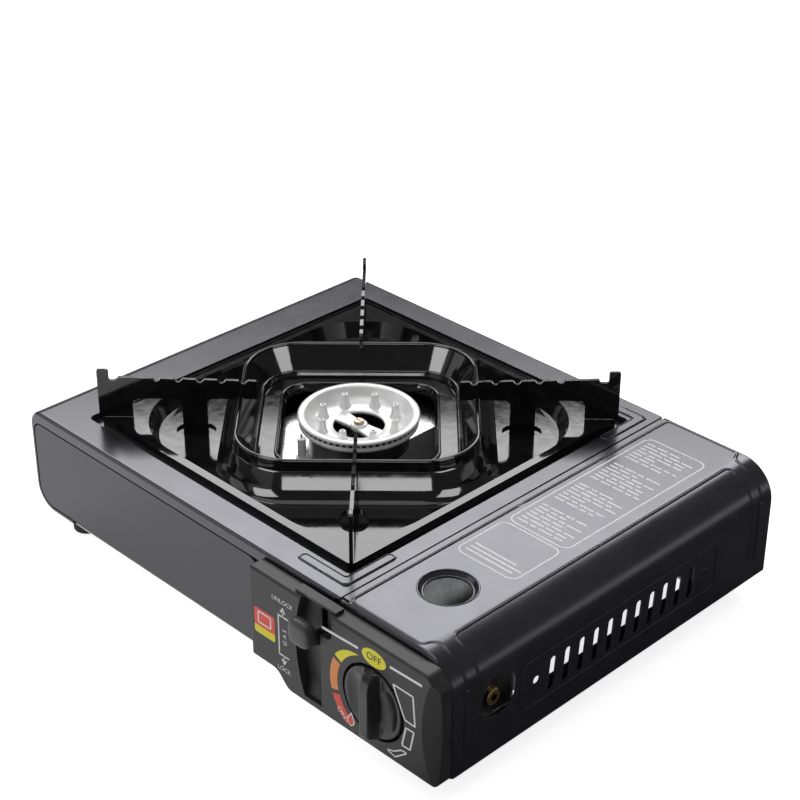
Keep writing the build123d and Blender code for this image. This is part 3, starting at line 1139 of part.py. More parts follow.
def igniter_cam():
    """Disc whose radius grows as it turns; it pushes the igniter's plunger."""
    steps = 24
    points = []
    for k in range(steps + 1):
        turn = CAM_TURN * k / steps
        radius = CAM_START + CAM_LIFT * k / steps
        angle = radians(180.0 - turn)
        points.append((KNOB_X + radius * cos(angle), KNOB_Z + radius * sin(angle)))
    rise = Spline(*points)
    angle_end = 180.0 - CAM_TURN
    back_angle = radians((angle_end - 180.0) / 2 - 0.0)
    far_point = (KNOB_X + CAM_START * cos(back_angle), KNOB_Z + CAM_START * sin(back_angle))
    back = ThreePointArc(points[-1], far_point, points[0])
    y0 = CAM_Y - CAM_THICKNESS / 2
    disc = along_y(make_face([rise, back]), y0, y0 + CAM_THICKNESS)
    return disc - rod_y(y0 - 1, y0 + CAM_THICKNESS + 1, KNOB_X, KNOB_Z, SPINDLE_RADIUS + TOUCH)


def igniter_body():
    """Piezo striker's housing, clipped in front of the regulator."""
    body = rod_x(PIEZO_LEFT, PIEZO_RIGHT, CAM_Y, KNOB_Z, PIEZO_RADIUS)
    return body - rod_x(PIEZO_LEFT + 2, PIEZO_RIGHT + 1, CAM_Y, KNOB_Z, PIEZO_BORE)


def igniter_plunger():
    tip = KNOB_X - CAM_START - FIT
    rod = rod_x(tip - PLUNGER_LENGTH, tip, CAM_Y, KNOB_Z, PLUNGER_RADIUS)
    return fillet(rod.faces().sort_by(Axis.X)[-1].edges(), 1.5)


def electrode_insulator():
    body = rod_z(CERAMIC_LOW, CERAMIC_HIGH, ELECTRODE_X, ELECTRODE_Y, CERAMIC_RADIUS)
    collar = rod_z(BRIDGE_TOP + TOUCH, BRIDGE_TOP + 3, ELECTRODE_X, ELECTRODE_Y, CERAMIC_RADIUS + 1.2)
    bore = rod_z(CERAMIC_LOW - 1, CERAMIC_HIGH + 1, ELECTRODE_X, ELECTRODE_Y, TIP_RADIUS + TOUCH)
    return body + collar - bore


def electrode_tip():
    return rod_z(CERAMIC_LOW, CERAMIC_HIGH + TIP_RISE, ELECTRODE_X, ELECTRODE_Y, TIP_RADIUS)



def igniter_wire():
    """High-tension lead from the striker, through the partition, to the electrode."""
    x0 = PIEZO_LEFT - TOUCH
    side_x = PARTITION_X + 3.1
    over_z = MIXER_Z + MIXER_RADIUS + WIRE_RADIUS + 3
    corners = [(x0, CAM_Y, KNOB_Z), (side_x, CAM_Y, KNOB_Z), (side_x, WIRE_CROSS_Y, KNOB_Z)]
    corners += [(60.0, WIRE_CROSS_Y, KNOB_Z), (0.0, ELECTRODE_Y - 8, over_z)]
    corners += [(ELECTRODE_X, ELECTRODE_Y, over_z), (ELECTRODE_X, ELECTRODE_Y, CERAMIC_LOW - TOUCH)]
    path = FilletPolyline(*corners, radius=[3.2, 5, 12, 12, 8])
    return swept_rod(path, WIRE_RADIUS)


# ---------------------------------------------------------------- lock lever and clamp
def tilted(shape):
    """Turn a lever piece, drawn level, up to its unlocked rest."""
    pivot = Pos(0, PIVOT_Y, PIVOT_Z)
    return pivot * Rot(-REST_TILT, 0, 0) * pivot.inverse() * shape


def lock_lever():
    """Flat steel bell-crank on the pivot; its pin drives the clamp's link."""
    x0 = LEVER_X - LEVER_SHEET / 2
    x1 = LEVER_X + LEVER_SHEET / 2
    arm_end = PIVOT_Y - ARM_LENGTH
    arm = along_x(Pos((arm_end + PIVOT_Y) / 2, PIVOT_Z) * Rectangle(PIVOT_Y - arm_end, 2 * LEVER_HALF), x0, x1)
    arm += rod_x(x0, x1, PIVOT_Y, PIVOT_Z, LEVER_HUB)
    arm += along_x(Pos(PIVOT_Y, PIVOT_Z + CRANK / 2) * Rectangle(7, CRANK), x0, x1)
    arm += rod_x(x0, x1, PIVOT_Y, PIVOT_Z + CRANK, 3.5)
    arm += rod_x(x0 - 4.0, x0 + 0.5, PIVOT_Y, PIVOT_Z + CRANK, CRANK_PIN)
    return tilted(arm - rod_x(x0 - 1, x1 + 1, PIVOT_Y, PIVOT_Z, PIVOT_RADIUS + RUNNING))


def lever_cap():
    """Thumb pad pushed on to the lever's end; it stands upright when unlocked."""
    x1 = LEVER_X + CAP_RIGHT
    box = slab(x1 - CAP_WIDTH, x1, CAP_FACE, CAP_BACK, CAP_LOW, CAP_LOW + CAP_HEIGHT)
    box = fillet(box.edges().filter_by(Axis.Y), CAP_FILLET)
    box = fillet(box.faces().sort_by(Axis.Y)[0].edges(), CAP_FILLET * 0.85)
    box = fillet(box.faces().sort_by(Axis.Y)[-1].edges(), CAP_BACK_FILLET)
    room = LEVER_SHEET / 2 + TOUCH
    slot_end = PIVOT_Y - ARM_LENGTH - TOUCH
    high = LEVER_HALF + TOUCH
    slot = slab(LEVER_X - room, LEVER_X + room, slot_end, PIVOT_Y, PIVOT_Z - high, PIVOT_Z + high)
    return box - tilted(slot)


def lever_pivot():
    """Stepped stud riveted into the partition; the lever turns on it."""
    x0 = LEVER_X - LEVER_SHEET / 2 - 0.4
    shaft = rod_x(x0, PARTITION_X + 1, PIVOT_Y, PIVOT_Z, PIVOT_RADIUS)
    shaft += rod_x(x0 - 1.2, x0, PIVOT_Y, PIVOT_Z, PIVOT_RADIUS + 1.5)
    shoulder = rod_x(LEVER_X + LEVER_SHEET / 2 + 0.4, PARTITION_X - SHEET - TOUCH, PIVOT_Y, PIVOT_Z, PIVOT_RADIUS + 1.5)
    head = rod_x(PARTITION_X + TOUCH, PARTITION_X + 1.2, PIVOT_Y, PIVOT_Z, PIVOT_RADIUS + 1.2)
    return shaft + shoulder + head


def clamp_carriage():
    """U-shaped plate that pulls the cartridge's collar on to the connector."""
    y0 = CLAMP_Y - CLAMP_SHEET / 2
    y1 = CLAMP_Y + CLAMP_SHEET / 2
    well_half = RAIL_SPREAD + RAIL_FOOT + WELL_MARGIN + 2 * SHEET
    half = well_half + CLAMP_MARGIN
    plate = slab(BAY_X - half, BAY_X + half, y0, y1, FLOOR + FIT, CLAMP_HIGH)
    plate -= rod_y(y0 - 1, y1 + 1, BAY_X, CARTRIDGE_Z, CLAMP_NOTCH)
    plate -= slab(BAY_X - CLAMP_NOTCH, BAY_X + CLAMP_NOTCH, y0 - 1, y1 + 1, CARTRIDGE_Z, TOP)
    pin_y = PIVOT_Y + CRANK * sin(radians(REST_TILT))
    pin_z = PIVOT_Z + CRANK * cos(radians(REST_TILT))
    link_x = LEVER_X - LEVER_SHEET / 2 - 1.0
    link = slab(link_x - CLAMP_SHEET, BAY_X - half + 1, y0, y1, pin_z - LINK_HALF, pin_z + LINK_HALF)
    link += slab(link_x - CLAMP_SHEET, link_x, pin_y - 5, y1, pin_z - LINK_HALF, pin_z + LINK_HALF)
    hole = CRANK_PIN + CRANK_PLAY
    rise = CRANK - CRANK * cos(radians(REST_TILT))
    slot = Pos(pin_y, pin_z + rise / 2) * RectangleRounded(2 * hole, 2 * hole + rise + 0.4, hole - 0.1)
    link -= along_x(slot, link_x - CLAMP_SHEET - 1, link_x + 1)
    return plate + link


# ---------------------------------------------------------------- fasteners
def screw_y(x, z, seat, length, head_side):
    """A pan-head screw along Y; the head stands on the seat's named side."""
    y0, y1 = sorted((seat, seat - head_side * length))
    shank = rod_y(y0, y1, x, z, FASTENER_RADIUS)
    y0, y1 = sorted((seat, seat + head_side * FASTENER_HEAD_HEIGHT))
    return shank + rod_y(y0, y1, x, z, FASTENER_HEAD)


def panel_screws():
    seat = PLATE_FRONT + SHEET + TOUCH
    return [screw_y(x, z, seat, FASTENER_LENGTH, 1) for x, z in panel_posts()]


def regulator_screws():
    return [screw_y(x, z, PLATE_FRONT - TOUCH, FASTENER_LENGTH, -1) for x, z in regulator_posts()]


def bridge_rivets():
    """Rivets that hold the bridge's feet and the partition's foot to the bottom plate."""
    spots = []
    for side in (-1, 1):
        y = side * (BRIDGE_HALF + BRIDGE_FOOT * 0.6)
        spots += [(BRIDGE_LEFT + 10, y), (BRIDGE_RIGHT - 10, y)]
        spots.append((PARTITION_X - SHEET - PARTITION_FLANGE / 2, side * 80.0))
    low = FLOOR + SHEET + TOUCH
    return [rod_z(low, low + RIVET_HEIGHT, x, y, RIVET_RADIUS) for x, y in spots]


# ---------------------------------------------------------------- build and export
def build():
    pieces["top_casing"] = top_casing()
    pieces["base_tray"] = base_tray()
    pieces["front_panel"] = front_panel()
    pieces["back_panel"] = back_panel()
    pieces["partition_wall"] = partition_wall()
    for name_x, side_x in (("left", -1), ("right", 1)):
        for name_y, side_y in (("front", -1), ("back", 1)):
            pieces[f"foot_{name_y}_{name_x}"] = foot(side_x, side_y)
    pieces["canister_lid"] = canister_lid()
    pieces["hinge_pin_front"] = hinge_pin(-1)
    pieces["hinge_pin_back"] = hinge_pin(1)
    pieces["canister_cradle"] = canister_cradle()
    pieces["drip_pan"] = drip_pan()
    for name, turn in WING_TURNS.items():
        pieces[f"pot_support_{name}"] = pot_support(turn)
    for maker in (burner_head, burner_cup, burner_screw, burner_bridge, heat_plate, mixing_tube, gas_nozzle,
                  regulator_body, canister_connector, connector_seal, gas_inlet, control_panel, knob,
                  valve_spindle, igniter_cam, igniter_body, igniter_plunger, electrode_insulator,
                  electrode_tip, igniter_wire, lock_lever, lever_cap, lever_pivot, clamp_carriage):
        pieces[maker.__name__] = maker()
    for maker in (panel_screws, regulator_screws, bridge_rivets):
        first, *others = maker()
        pieces[maker.__name__] = first + others


def export():
    os.makedirs("parts", exist_ok=True)
    boxes = [piece.bounding_box() for piece in pieces.values()]
    low_y = min(box.min.Y for box in boxes)
    high_y = max(box.max.Y for box in boxes)
    shift = -(low_y + high_y) / 2
    print(f"shift along Y {shift:.4f}, hinge {HINGE_X:.3f} {HINGE_Z:.3f}, clamp travel {CLAMP_TRAVEL:.4f}")
    for name, piece in pieces.items():
        export_step(Pos(0, shift, 0) * piece, f"parts/{name}.step")


build()
export()
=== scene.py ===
import json
import math

import bmesh
import bpy
from mathutils import Matrix, Vector

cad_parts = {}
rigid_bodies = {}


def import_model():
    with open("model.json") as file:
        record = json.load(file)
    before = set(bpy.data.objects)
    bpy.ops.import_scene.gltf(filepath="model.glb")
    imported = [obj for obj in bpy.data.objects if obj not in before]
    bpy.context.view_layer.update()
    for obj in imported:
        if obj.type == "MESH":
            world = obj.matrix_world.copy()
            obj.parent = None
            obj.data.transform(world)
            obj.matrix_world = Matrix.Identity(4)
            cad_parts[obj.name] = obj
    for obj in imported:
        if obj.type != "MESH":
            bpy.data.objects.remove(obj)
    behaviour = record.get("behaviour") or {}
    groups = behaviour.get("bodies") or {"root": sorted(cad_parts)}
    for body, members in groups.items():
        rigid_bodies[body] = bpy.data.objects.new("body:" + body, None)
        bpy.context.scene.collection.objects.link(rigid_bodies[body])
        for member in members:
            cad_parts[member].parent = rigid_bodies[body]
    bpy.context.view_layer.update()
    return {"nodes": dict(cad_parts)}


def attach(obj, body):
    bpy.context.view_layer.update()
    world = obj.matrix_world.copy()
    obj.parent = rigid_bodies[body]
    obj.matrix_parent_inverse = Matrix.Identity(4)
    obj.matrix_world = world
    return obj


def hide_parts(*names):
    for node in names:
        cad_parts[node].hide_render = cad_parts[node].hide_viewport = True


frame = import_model()
MM = 0.001
SHIFT_Y = 9.5              # how far the case's middle lies behind the footprint's middle, in mm


# ---------------------------------------------------------------- shader helpers, for a material or the world
def node(owner, kind, **settings):
    made = owner.node_tree.nodes.new(kind)
    for key, value in settings.items():
        if key in made.inputs:
            made.inputs[key].default_value = value
        else:
            setattr(made, key, value)
    return made


def link(owner, source, target):
    owner.node_tree.links.new(source, target)


def map_range(owner, source, from_low, from_high, to_low, to_high):
    made = node(owner, "ShaderNodeMapRange")
    made.inputs["From Min"].default_value = from_low
    made.inputs["From Max"].default_value = from_high
    made.inputs["To Min"].default_value = to_low
    made.inputs["To Max"].default_value = to_high
    link(owner, source, made.inputs["Value"])
    return made.outputs["Result"]


def combine(owner, operation, first, second):
    made = node(owner, "ShaderNodeMath", operation=operation)
    link(owner, first, made.inputs[0])
    link(owner, second, made.inputs[1])
    return made.outputs[0]


def coords(mat):
    return node(mat, "ShaderNodeTexCoord").outputs["Object"]


def noise(mat, scale, detail=3.0, rough=0.55, stretch=None):
    made = node(mat, "ShaderNodeTexNoise", Scale=scale, Detail=detail, Roughness=rough)
    source = coords(mat)
    if stretch:
        mapping = node(mat, "ShaderNodeMapping")
        mapping.inputs["Scale"].default_value = stretch
        link(mat, source, mapping.inputs["Vector"])
        source = mapping.outputs["Vector"]
    link(mat, source, made.inputs["Vector"])
    return made.outputs["Fac"]


def ramp(mat, source, low, high, start=0.35, end=0.65):
    made = node(mat, "ShaderNodeValToRGB")
    made.color_ramp.elements[0].position = start
    made.color_ramp.elements[1].position = end
    made.color_ramp.elements[0].color = (*low, 1.0)
    made.color_ramp.elements[1].color = (*high, 1.0)
    link(mat, source, made.inputs["Fac"])
    return made.outputs["Color"]


def spread(mat, source, low, high):
    """A noise's middle range, spread from low to high."""
    return map_range(mat, source, 0.3, 0.7, low, high)


def bump(mat, source, strength, distance, below=None):
    made = node(mat, "ShaderNodeBump", Strength=strength, Distance=distance)
    link(mat, source, made.inputs["Height"])
    if below is not None:
        link(mat, below, made.inputs["Normal"])
    return made.outputs["Normal"]


# ---------------------------------------------------------------- materials
def new_material(name, color, rough, metal=0.0, **inputs):
    mat = bpy.data.materials.new(name)
    mat.use_nodes = True
    shader = mat.node_tree.nodes["Principled BSDF"]
    shader.inputs["Base Color"].default_value = (*color, 1.0)
    shader.inputs["Roughness"].default_value = rough
    shader.inputs["Metallic"].default_value = metal
    for key, value in inputs.items():
        shader.inputs[key.replace("_", " ")].default_value = value
    return mat


def wire(mat, color, rough, normal):
    shader = mat.node_tree.nodes["Principled BSDF"]
    link(mat, color, shader.inputs["Base Color"])
    link(mat, rough, shader.inputs["Roughness"])
    link(mat, normal, shader.inputs["Normal"])
    return mat


def painted(name, tone, rough, spec, peel=0.02):
    """Sprayed paint: fine orange peel, and a faintly blue tone that drifts slowly."""
    mat = new_material(name, (tone, tone, tone * 1.2), rough, Specular_IOR_Level=spec,
                       Specular_Tint=(0.95, 0.95, 1.06, 1.0))
    fine = noise(mat, 900.0, 2.0)
    broad = noise(mat, 60.0, 2.0)
    dark = (tone * 0.9, tone * 0.9, tone * 1.1)
    light = (tone * 1.12, tone * 1.12, tone * 1.4)
    return wire(mat, ramp(mat, broad, dark, light), spread(mat, broad, rough * 0.93, rough * 1.07),
                bump(mat, fine, peel, 0.0004))


def enamel():
    """Glossy black enamel, with long low waves under a fine grain."""
    mat = new_material("pan_enamel", (0.006, 0.006, 0.0065), 0.07, Specular_IOR_Level=0.55)
    wave = noise(mat, 150.0, 3.0)
    fine = noise(mat, 700.0, 2.0)
    normal = bump(mat, fine, 0.015, 0.0002, bump(mat, wave, 0.02, 0.0008))
    return wire(mat, ramp(mat, wave, (0.005,) * 3, (0.0085, 0.0085, 0.009)),
                spread(mat, wave, 0.05, 0.11), normal)


def metal(name, color, rough, grain, strength, stretch=None, dark=0.85, share=1.0):
    mat = new_material(name, color, rough, share)
    grey = noise(mat, grain, 4.0, 0.6, stretch)
    tint = ramp(mat, grey, tuple(c * dark for c in color), color)
    normal = bump(mat, grey, strength, 0.0003)
    return wire(mat, tint, spread(mat, grey, rough * 0.8, rough * 1.2), normal)


def zinc():
    """Galvanised sheet, with the cells of its coating."""
    mat = new_material("zinc_sheet", (0.68, 0.69, 0.7), 0.32, 1.0)
    cells = node(mat, "ShaderNodeTexVoronoi", Scale=180.0)
    link(mat, coords(mat), cells.inputs["Vector"])
    tint = ramp(mat, cells.outputs["Distance"], (0.56, 0.57, 0.585), (0.76, 0.77, 0.78), 0.1, 0.8)
    fine = noise(mat, 1200.0, 3.0)
    return wire(mat, tint, spread(mat, fine, 0.26, 0.4), bump(mat, fine, 0.05, 0.0002))


def moulded(name, tone, rough, grain, strength):
    mat = new_material(name, (tone, tone, tone * 1.04), rough, Specular_IOR_Level=0.5)
    fine = noise(mat, grain, 4.0, 0.65)
    broad = noise(mat, 45.0, 2.0)
    color = ramp(mat, broad, (tone * 0.88,) * 3, (tone * 1.15, tone * 1.15, tone * 1.2))
    return wire(mat, color, spread(mat, fine, rough * 0.9, rough * 1.12), bump(mat, fine, strength, 0.0003))


def ink(name, color, rough=0.45):
    mat = new_material(name, color, rough)
    fine = noise(mat, 1500.0, 3.0)
    tint = ramp(mat, fine, tuple(c * 0.9 for c in color), color)
    return wire(mat, tint, spread(mat, fine, rough * 0.9, rough * 1.1), bump(mat, fine, 0.03, 0.0001))


M = {
    "case": painted("case_paint", 0.016, 0.24, 0.9),
    "lid": painted("lid_paint", 0.016, 0.24, 0.9),
    "front": painted("front_paint", 0.02, 0.34, 0.66),
    "enamel": enamel(),
    "zinc": zinc(),
    "alloy": metal("cast_alloy", (0.9, 0.9, 0.895), 0.33, 1400.0, 0.18, dark=0.94, share=0.3),
    "steel": metal("cup_steel", (0.2, 0.2, 0.2), 0.42, 500.0, 0.1),
    "bright": metal("bright_steel", (0.82, 0.82, 0.83), 0.2, 600.0, 0.04),
    "brass": metal("turned_brass", (0.78, 0.56, 0.24), 0.24, 500.0, 0.05, (1.0, 8.0, 8.0)),
    "panel": moulded("panel_plastic", 0.024, 0.46, 2600.0, 0.1),
    "cap": moulded("cap_plastic", 0.05, 0.36, 1500.0, 0.05),
    "knob": moulded("knob_plastic", 0.016, 0.24, 2400.0, 0.006),
    "rubber": moulded("foot_rubber", 0.02, 0.7, 1600.0, 0.25),
    "ceramic": moulded("ceramic", 0.85, 0.25, 900.0, 0.02),
    "white": ink("white_ink", (0.92, 0.92, 0.93)),
    "red": ink("red_ink", (0.9, 0.09, 0.06)),
    "yellow": ink("yellow_ink", (0.93, 0.84, 0.03)),
    "orange": ink("orange_ink", (0.93, 0.32, 0.09)),
    "label": ink("label_ink", (0.8, 0.8, 0.81), 0.5),
    "ink_black": ink("black_ink", (0.02, 0.02, 0.02), 0.5),
    "screw": metal("screw_steel", (0.6, 0.47, 0.38), 0.3, 600.0, 0.05),
    # painted shade: a near-black plastic for the boxes that stand for the shade inside the burner's slots
    "painted_slot_shade": moulded("slot_shade", 0.006, 0.8, 1500.0, 0.05),
}

LOOK = {
    "top_casing": "case", "canister_lid": "lid", "front_panel": "front", "back_panel": "front",
    "base_tray": "zinc", "partition_wall": "zinc", "canister_cradle": "zinc", "burner_bridge": "bright",
    "clamp_carriage": "zinc", "lock_lever": "zinc", "drip_pan": "enamel", "burner_head": "alloy",
    "regulator_body": "alloy", "heat_plate": "alloy", "burner_cup": "steel", "mixing_tube": "steel",
    "hinge_pin_front": "steel", "hinge_pin_back": "steel", "lever_pivot": "bright",
    "panel_screws": "bright", "regulator_screws": "bright", "bridge_rivets": "bright",
    "electrode_tip": "bright", "igniter_plunger": "bright", "burner_screw": "screw",
    "gas_nozzle": "brass", "gas_inlet": "brass", "valve_spindle": "brass", "canister_connector": "brass",
    "control_panel": "panel", "igniter_body": "panel", "igniter_cam": "panel", "lever_cap": "cap",
    "knob": "knob", "connector_seal": "rubber", "igniter_wire": "rubber",
    "electrode_insulator": "ceramic",
}


def look_of(name):
    if name.startswith("foot_"):
        return "rubber"
    if name.startswith("pot_support"):
        return "enamel"
    return LOOK[name]


def dress(obj, mat):
    obj.data.materials.clear()
    obj.data.materials.append(mat)


for name, obj in frame["nodes"].items():
    dress(obj, M[look_of(name)])


# ---------------------------------------------------------------- sizes shared with the CAD, in mm
PANEL_FACE = -138.6        # the control panel's front
CASE_TOP = 79.8
LID_SIDE = 172.0           # the lid's right face
LID_ROUND = 22.0
LID_FLAT = LID_SIDE - LID_ROUND
SEAT_HALF = 110.65         # half of the pan's seat
BURNER = (-28.4, 0.0)
KNOB = (127.1, 39.9)       # x and z of the knob's axis
VIEW = (123.8, -82.7)      # the middle of the lid's viewing hole
LIFT = 0.05                # how far a print stands out of its face


# ---------------------------------------------------------------- points and meshes
def place(x, y, z):
    return Vector((x * MM, (y + SHIFT_Y) * MM, z * MM))


def on_panel(x, z, lift):
    return place(x, PANEL_FACE - lift, z)


def on_case(x, y, lift):
    return place(x, y, CASE_TOP + lift)


def on_lid(u, y, lift):
    """A point on the lid's skin: u is how far it is round the skin from x = 0."""
    quarter = LID_ROUND * math.pi / 2
    if u <= LID_FLAT:
        return on_case(u, y, lift)
    if u <= LID_FLAT + quarter:
        turn = (u - LID_FLAT) / LID_ROUND
        far = LID_ROUND + lift
        return place(LID_FLAT + far * math.sin(turn), y, CASE_TOP - LID_ROUND + far * math.cos(turn))
    return place(LID_SIDE + lift, y, CASE_TOP - LID_ROUND - (u - LID_FLAT - quarter))


def around(center, far, turn):
    return center[0] + far * math.cos(turn), center[1] + far * math.sin(turn)


def whole_turn(steps):
    return [2 * math.pi * k / steps for k in range(steps)]


def no_face(face):
    return False


def quad_face(face):
    return len(face.verts) == 4


def every_face(face):
    return True


def join_rows(bm, rows, closed=False):
    """Quads between neighbouring rows of vertices; each row closes on itself."""
    if closed:
        rows = rows + rows[:1]
    for a, b in zip(rows, rows[1:]):
        for j in range(len(a)):
            k = (j + 1) % len(a)
            bm.faces.new((a[j], a[k], b[k], b[j]))


def finish_mesh(bm, name, smooth):
    bmesh.ops.recalc_face_normals(bm, faces=bm.faces)
    for face in bm.faces:
        face.smooth = smooth(face)
    mesh = bpy.data.meshes.new(name)
    bm.to_mesh(mesh)
    bm.free()
    return mesh


def band_mesh(name, rows):
    """A closed band: the last row joins the first."""
    bm = bmesh.new()
    join_rows(bm, [[bm.verts.new(p) for p in row] for row in rows], closed=True)
    return finish_mesh(bm, name, every_face)


def capped_mesh(name, rows, first_tip, last_tip):
    """A closed skin over rows of points, with a fan to a tip at each end."""
    bm = bmesh.new()
    made = [[bm.verts.new(p) for p in row] for row in rows]
    join_rows(bm, made)
    for tip, row in ((first_tip, made[0]), (last_tip, made[-1])):
        end = bm.verts.new(tip)
        for j in range(len(row)):
            bm.faces.new((row[j], row[(j + 1) % len(row)], end))
    return finish_mesh(bm, name, every_face)


def add_piece(name, mesh, look, body, stands_for=()):
    obj = bpy.data.objects.new(name, mesh)
    bpy.context.scene.collection.objects.link(obj)
    dress(obj, M[look])
    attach(obj, body)
    if stands_for:
        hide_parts(*stands_for)
    return obj


# ---------------------------------------------------------------- flat shapes for prints
POINT = 0.02               # half the width that a disc or a leaf keeps at its ends


# Each shape is a strip of (one side, other side) pairs, and whether its end joins its start.
def bar(p, q, width):
    """A straight strip from p to q."""
    start, end = Vector(p), Vector(q)
    way = (end - start).normalized()
    side = Vector((-way.y, way.x)) * width / 2
    return [(tuple(start + side), tuple(start - side)), (tuple(end + side), tuple(end - side))], False


def arc_band(center, low, high, start, end, steps=24):
    """A strip between two radii, from one angle to another, in degrees."""
    pairs = []
    for k in range(steps + 1):
        turn = math.radians(start + (end - start) * k / steps)
        way = Vector((math.cos(turn), math.sin(turn)))
        pairs.append((tuple(Vector(center) + way * high), tuple(Vector(center) + way * low)))
    return pairs, False


def crescent(center, radius, start, end, thickest, tip=0.05, steps=24):
    """A strip outside a circle that thins from its start to a tip at its end."""
    pairs = []
    for k in range(steps + 1):
        turn = math.radians(start + (end - start) * k / steps)
        way = Vector((math.cos(turn), math.sin(turn)))
        thick = thickest * (1 - (k / steps) ** 1.6) + tip
        inner = Vector(center) + way * radius
        pairs.append((tuple(inner + way * thick), tuple(inner)))
    return pairs, False


def disc(center, wide, high, steps=40):
    pairs = []
    for k in range(steps + 1):
        turn = math.pi * k / steps
        x = center[0] + wide * math.cos(turn)
        rise = max(high * math.sin(turn), POINT)
        pairs.append(((x, center[1] + rise), (x, center[1] - rise)))
    return pairs, False


def arrow_head(x, base, tip, half, blunt=0.1):
    """A triangle that points up or down; its two far corners are blunt."""
    corner = base + math.copysign(blunt, tip - base)
    pairs = []
    for across, end in ((x - half, corner), (x, tip), (x + half, corner)):
        pairs.append(((across, max(base, end)), (across, min(base, end))))
    return pairs, False


def rounded(points, radius, steps=6):
    """The corners of a closed outline, each replaced by an arc of points."""
    out = []
    count = len(points)
    for k in range(count):
        corner = Vector(points[k])
        before = (Vector(points[k - 1]) - corner).normalized()
        after = (Vector(points[(k + 1) % count]) - corner).normalized()
        half = before.angle(after) / 2
        back = radius / math.tan(half)
        start = corner + before * back
        end = corner + after * back
        middle = corner + (before + after).normalized() * radius / math.sin(half)
        for j in range(steps + 1):
            way = (start - middle).lerp(end - middle, j / steps).normalized()
            out.append(middle + way * radius)
    return out


def frame_line(points, radius, width):
    """A closed line of even width round an outline."""
    way = rounded(points, radius)
    pairs = []
    for k, spot in enumerate(way):
        ahead = (way[(k + 1) % len(way)] - way[k - 1]).normalized()
        side = Vector((-ahead.y, ahead.x)) * width / 2
        pairs.append((tuple(spot + side), tuple(spot - side)))
    return pairs, True


def box_line(x0, x1, y0, y1, radius, width):
    return frame_line([(x0, y0), (x1, y0), (x1, y1), (x0, y1)], radius, width)


def patch(x0, x1, z0, z1, radius, steps=8):
    """A filled rectangle whose corners are rounded, as one strip from left to right."""
    cuts = []
    for k in range(steps + 1):
        turn = math.pi / 2 * k / steps
        cuts.append((radius * (1 - math.cos(turn)), radius * (1 - math.sin(turn))))
    spots = [(x0 + inset, cut) for inset, cut in cuts]
    spots += [(x1 - inset, cut) for inset, cut in reversed(cuts)]
    return [((x, z1 - cut), (x, z0 + cut)) for x, cut in spots], False


def leaf(center, wide, high, lean, steps=16):
    """A pointed flame shape as one strip from its foot to its tip."""
    pairs = []
    for k in range(steps + 1):
        t = k / steps
        half = wide / 2 * math.sin(math.pi * (1 - (1 - t) ** 1.5)) ** 0.8 + POINT
        middle = center[0] + lean * t * t
        height = center[1] + high * t
        pairs.append(((middle + half, height), (middle - half, height)))
    return pairs, False


def print_mesh(name, loops, spot, thick=LIFT):
    """Thin closed plates, one for each flat shape, half sunk into the face that spot gives."""
    bm = bmesh.new()
    for pairs, closed in loops:
        rows = []
        for near, far in pairs:
            rows.append([bm.verts.new(spot(*near, h)) for h in (thick, -thick)]
                        + [bm.verts.new(spot(*far, h)) for h in (-thick, thick)])
        join_rows(bm, rows, closed)
        if not closed:
            bm.faces.new(rows[0])
            bm.faces.new(rows[-1][::-1])
    return finish_mesh(bm, name, no_face)


def panel_print(name, loops, look, layers=1.0):
    """A print on the control panel; one with more layers shows over one with fewer."""
    mesh = print_mesh(name, loops, on_panel, LIFT * layers)
    add_piece(name, mesh, look, "housing")


def words(name, text, size, spot, look, turn=0.0):
    """Generic words as thin raised letters on the panel's face."""
    curve = bpy.data.curves.new(name, "FONT")
    curve.body = text
    curve.size = size * MM
    curve.align_x = "CENTER"
    curve.align_y = "CENTER"
    curve.extrude = LIFT * MM
    curve.resolution_u = 4
    holder = bpy.data.objects.new(name + "_curve", curve)
    bpy.context.scene.collection.objects.link(holder)
    bpy.context.view_layer.update()
    mesh = bpy.data.meshes.new_from_object(holder)
    bpy.data.objects.remove(holder)
    upright = Matrix.Translation(on_panel(*spot, LIFT * 1.4)) @ Matrix.Rotation(math.pi / 2, 4, "X")
    mesh.transform(upright @ Matrix.Rotation(math.radians(turn), 4, "Z"))
    add_piece(name, mesh, look, "housing")


# ---------------------------------------------------------------- prints on the control panel
ARC_LOW = 25.6             # the coloured arc round the knob
ARC_HIGH = 31.0
OFF_SPOT = (128.0, 67.4)
STICKER = (38.4, 54.4)     # its left and right edge

white = [
    bar((90.8, 66.7), (116.9, 67.9), 1.5),
    bar((139.2, 68.7), (161.0, 69.3), 1.5),
    frame_line([(141.3, 59.5), (155.0, 59.4), (156.5, 41.9), (149.6, 42.2)], 0.4, 1.0),
    frame_line([(150.3, 37.7), (155.8, 37.9), (153.2, 25.6), (147.6, 25.4)], 0.4, 1.0),
    frame_line([(136.6, 16.4), (143.0, 15.2), (151.4, 22.4), (147.0, 21.8), (142.0, 18.2)], 0.4, 0.8),
    box_line(41.6, 51.2, 51.0, 44.2, 0.6, 0.9),
    bar((57.0, 57.0), (65.0, 57.0), 1.0),
    bar((57.0, 32.2), (65.0, 32.2), 1.0),
    bar((57.5, 57.0), (57.5, 32.2), 0.9),
    bar((61.0, 60.8), (61.0, 56.6), 0.7),
    bar((61.0, 32.6), (61.0, 28.4), 0.7),
    arrow_head(61.0, 59.5, 63.0, 2.1),
    arrow_head(61.0, 29.7, 26.2, 2.1),
]
red = [patch(*STICKER, 41.9, 53.0, 1.6), arc_band(KNOB, ARC_LOW, ARC_HIGH, 199.5, 231.5)]
yellow = [patch(*STICKER, 37.1, 43.2, 1.6), disc(OFF_SPOT, 8.4, 5.0),
          crescent(KNOB, ARC_LOW, 151.0, 113.0, 5.4)]
orange = [arc_band(KNOB, ARC_LOW, ARC_HIGH, 155.5, 194.5)]
panel_print("marks_white", white, "white", 1.6)
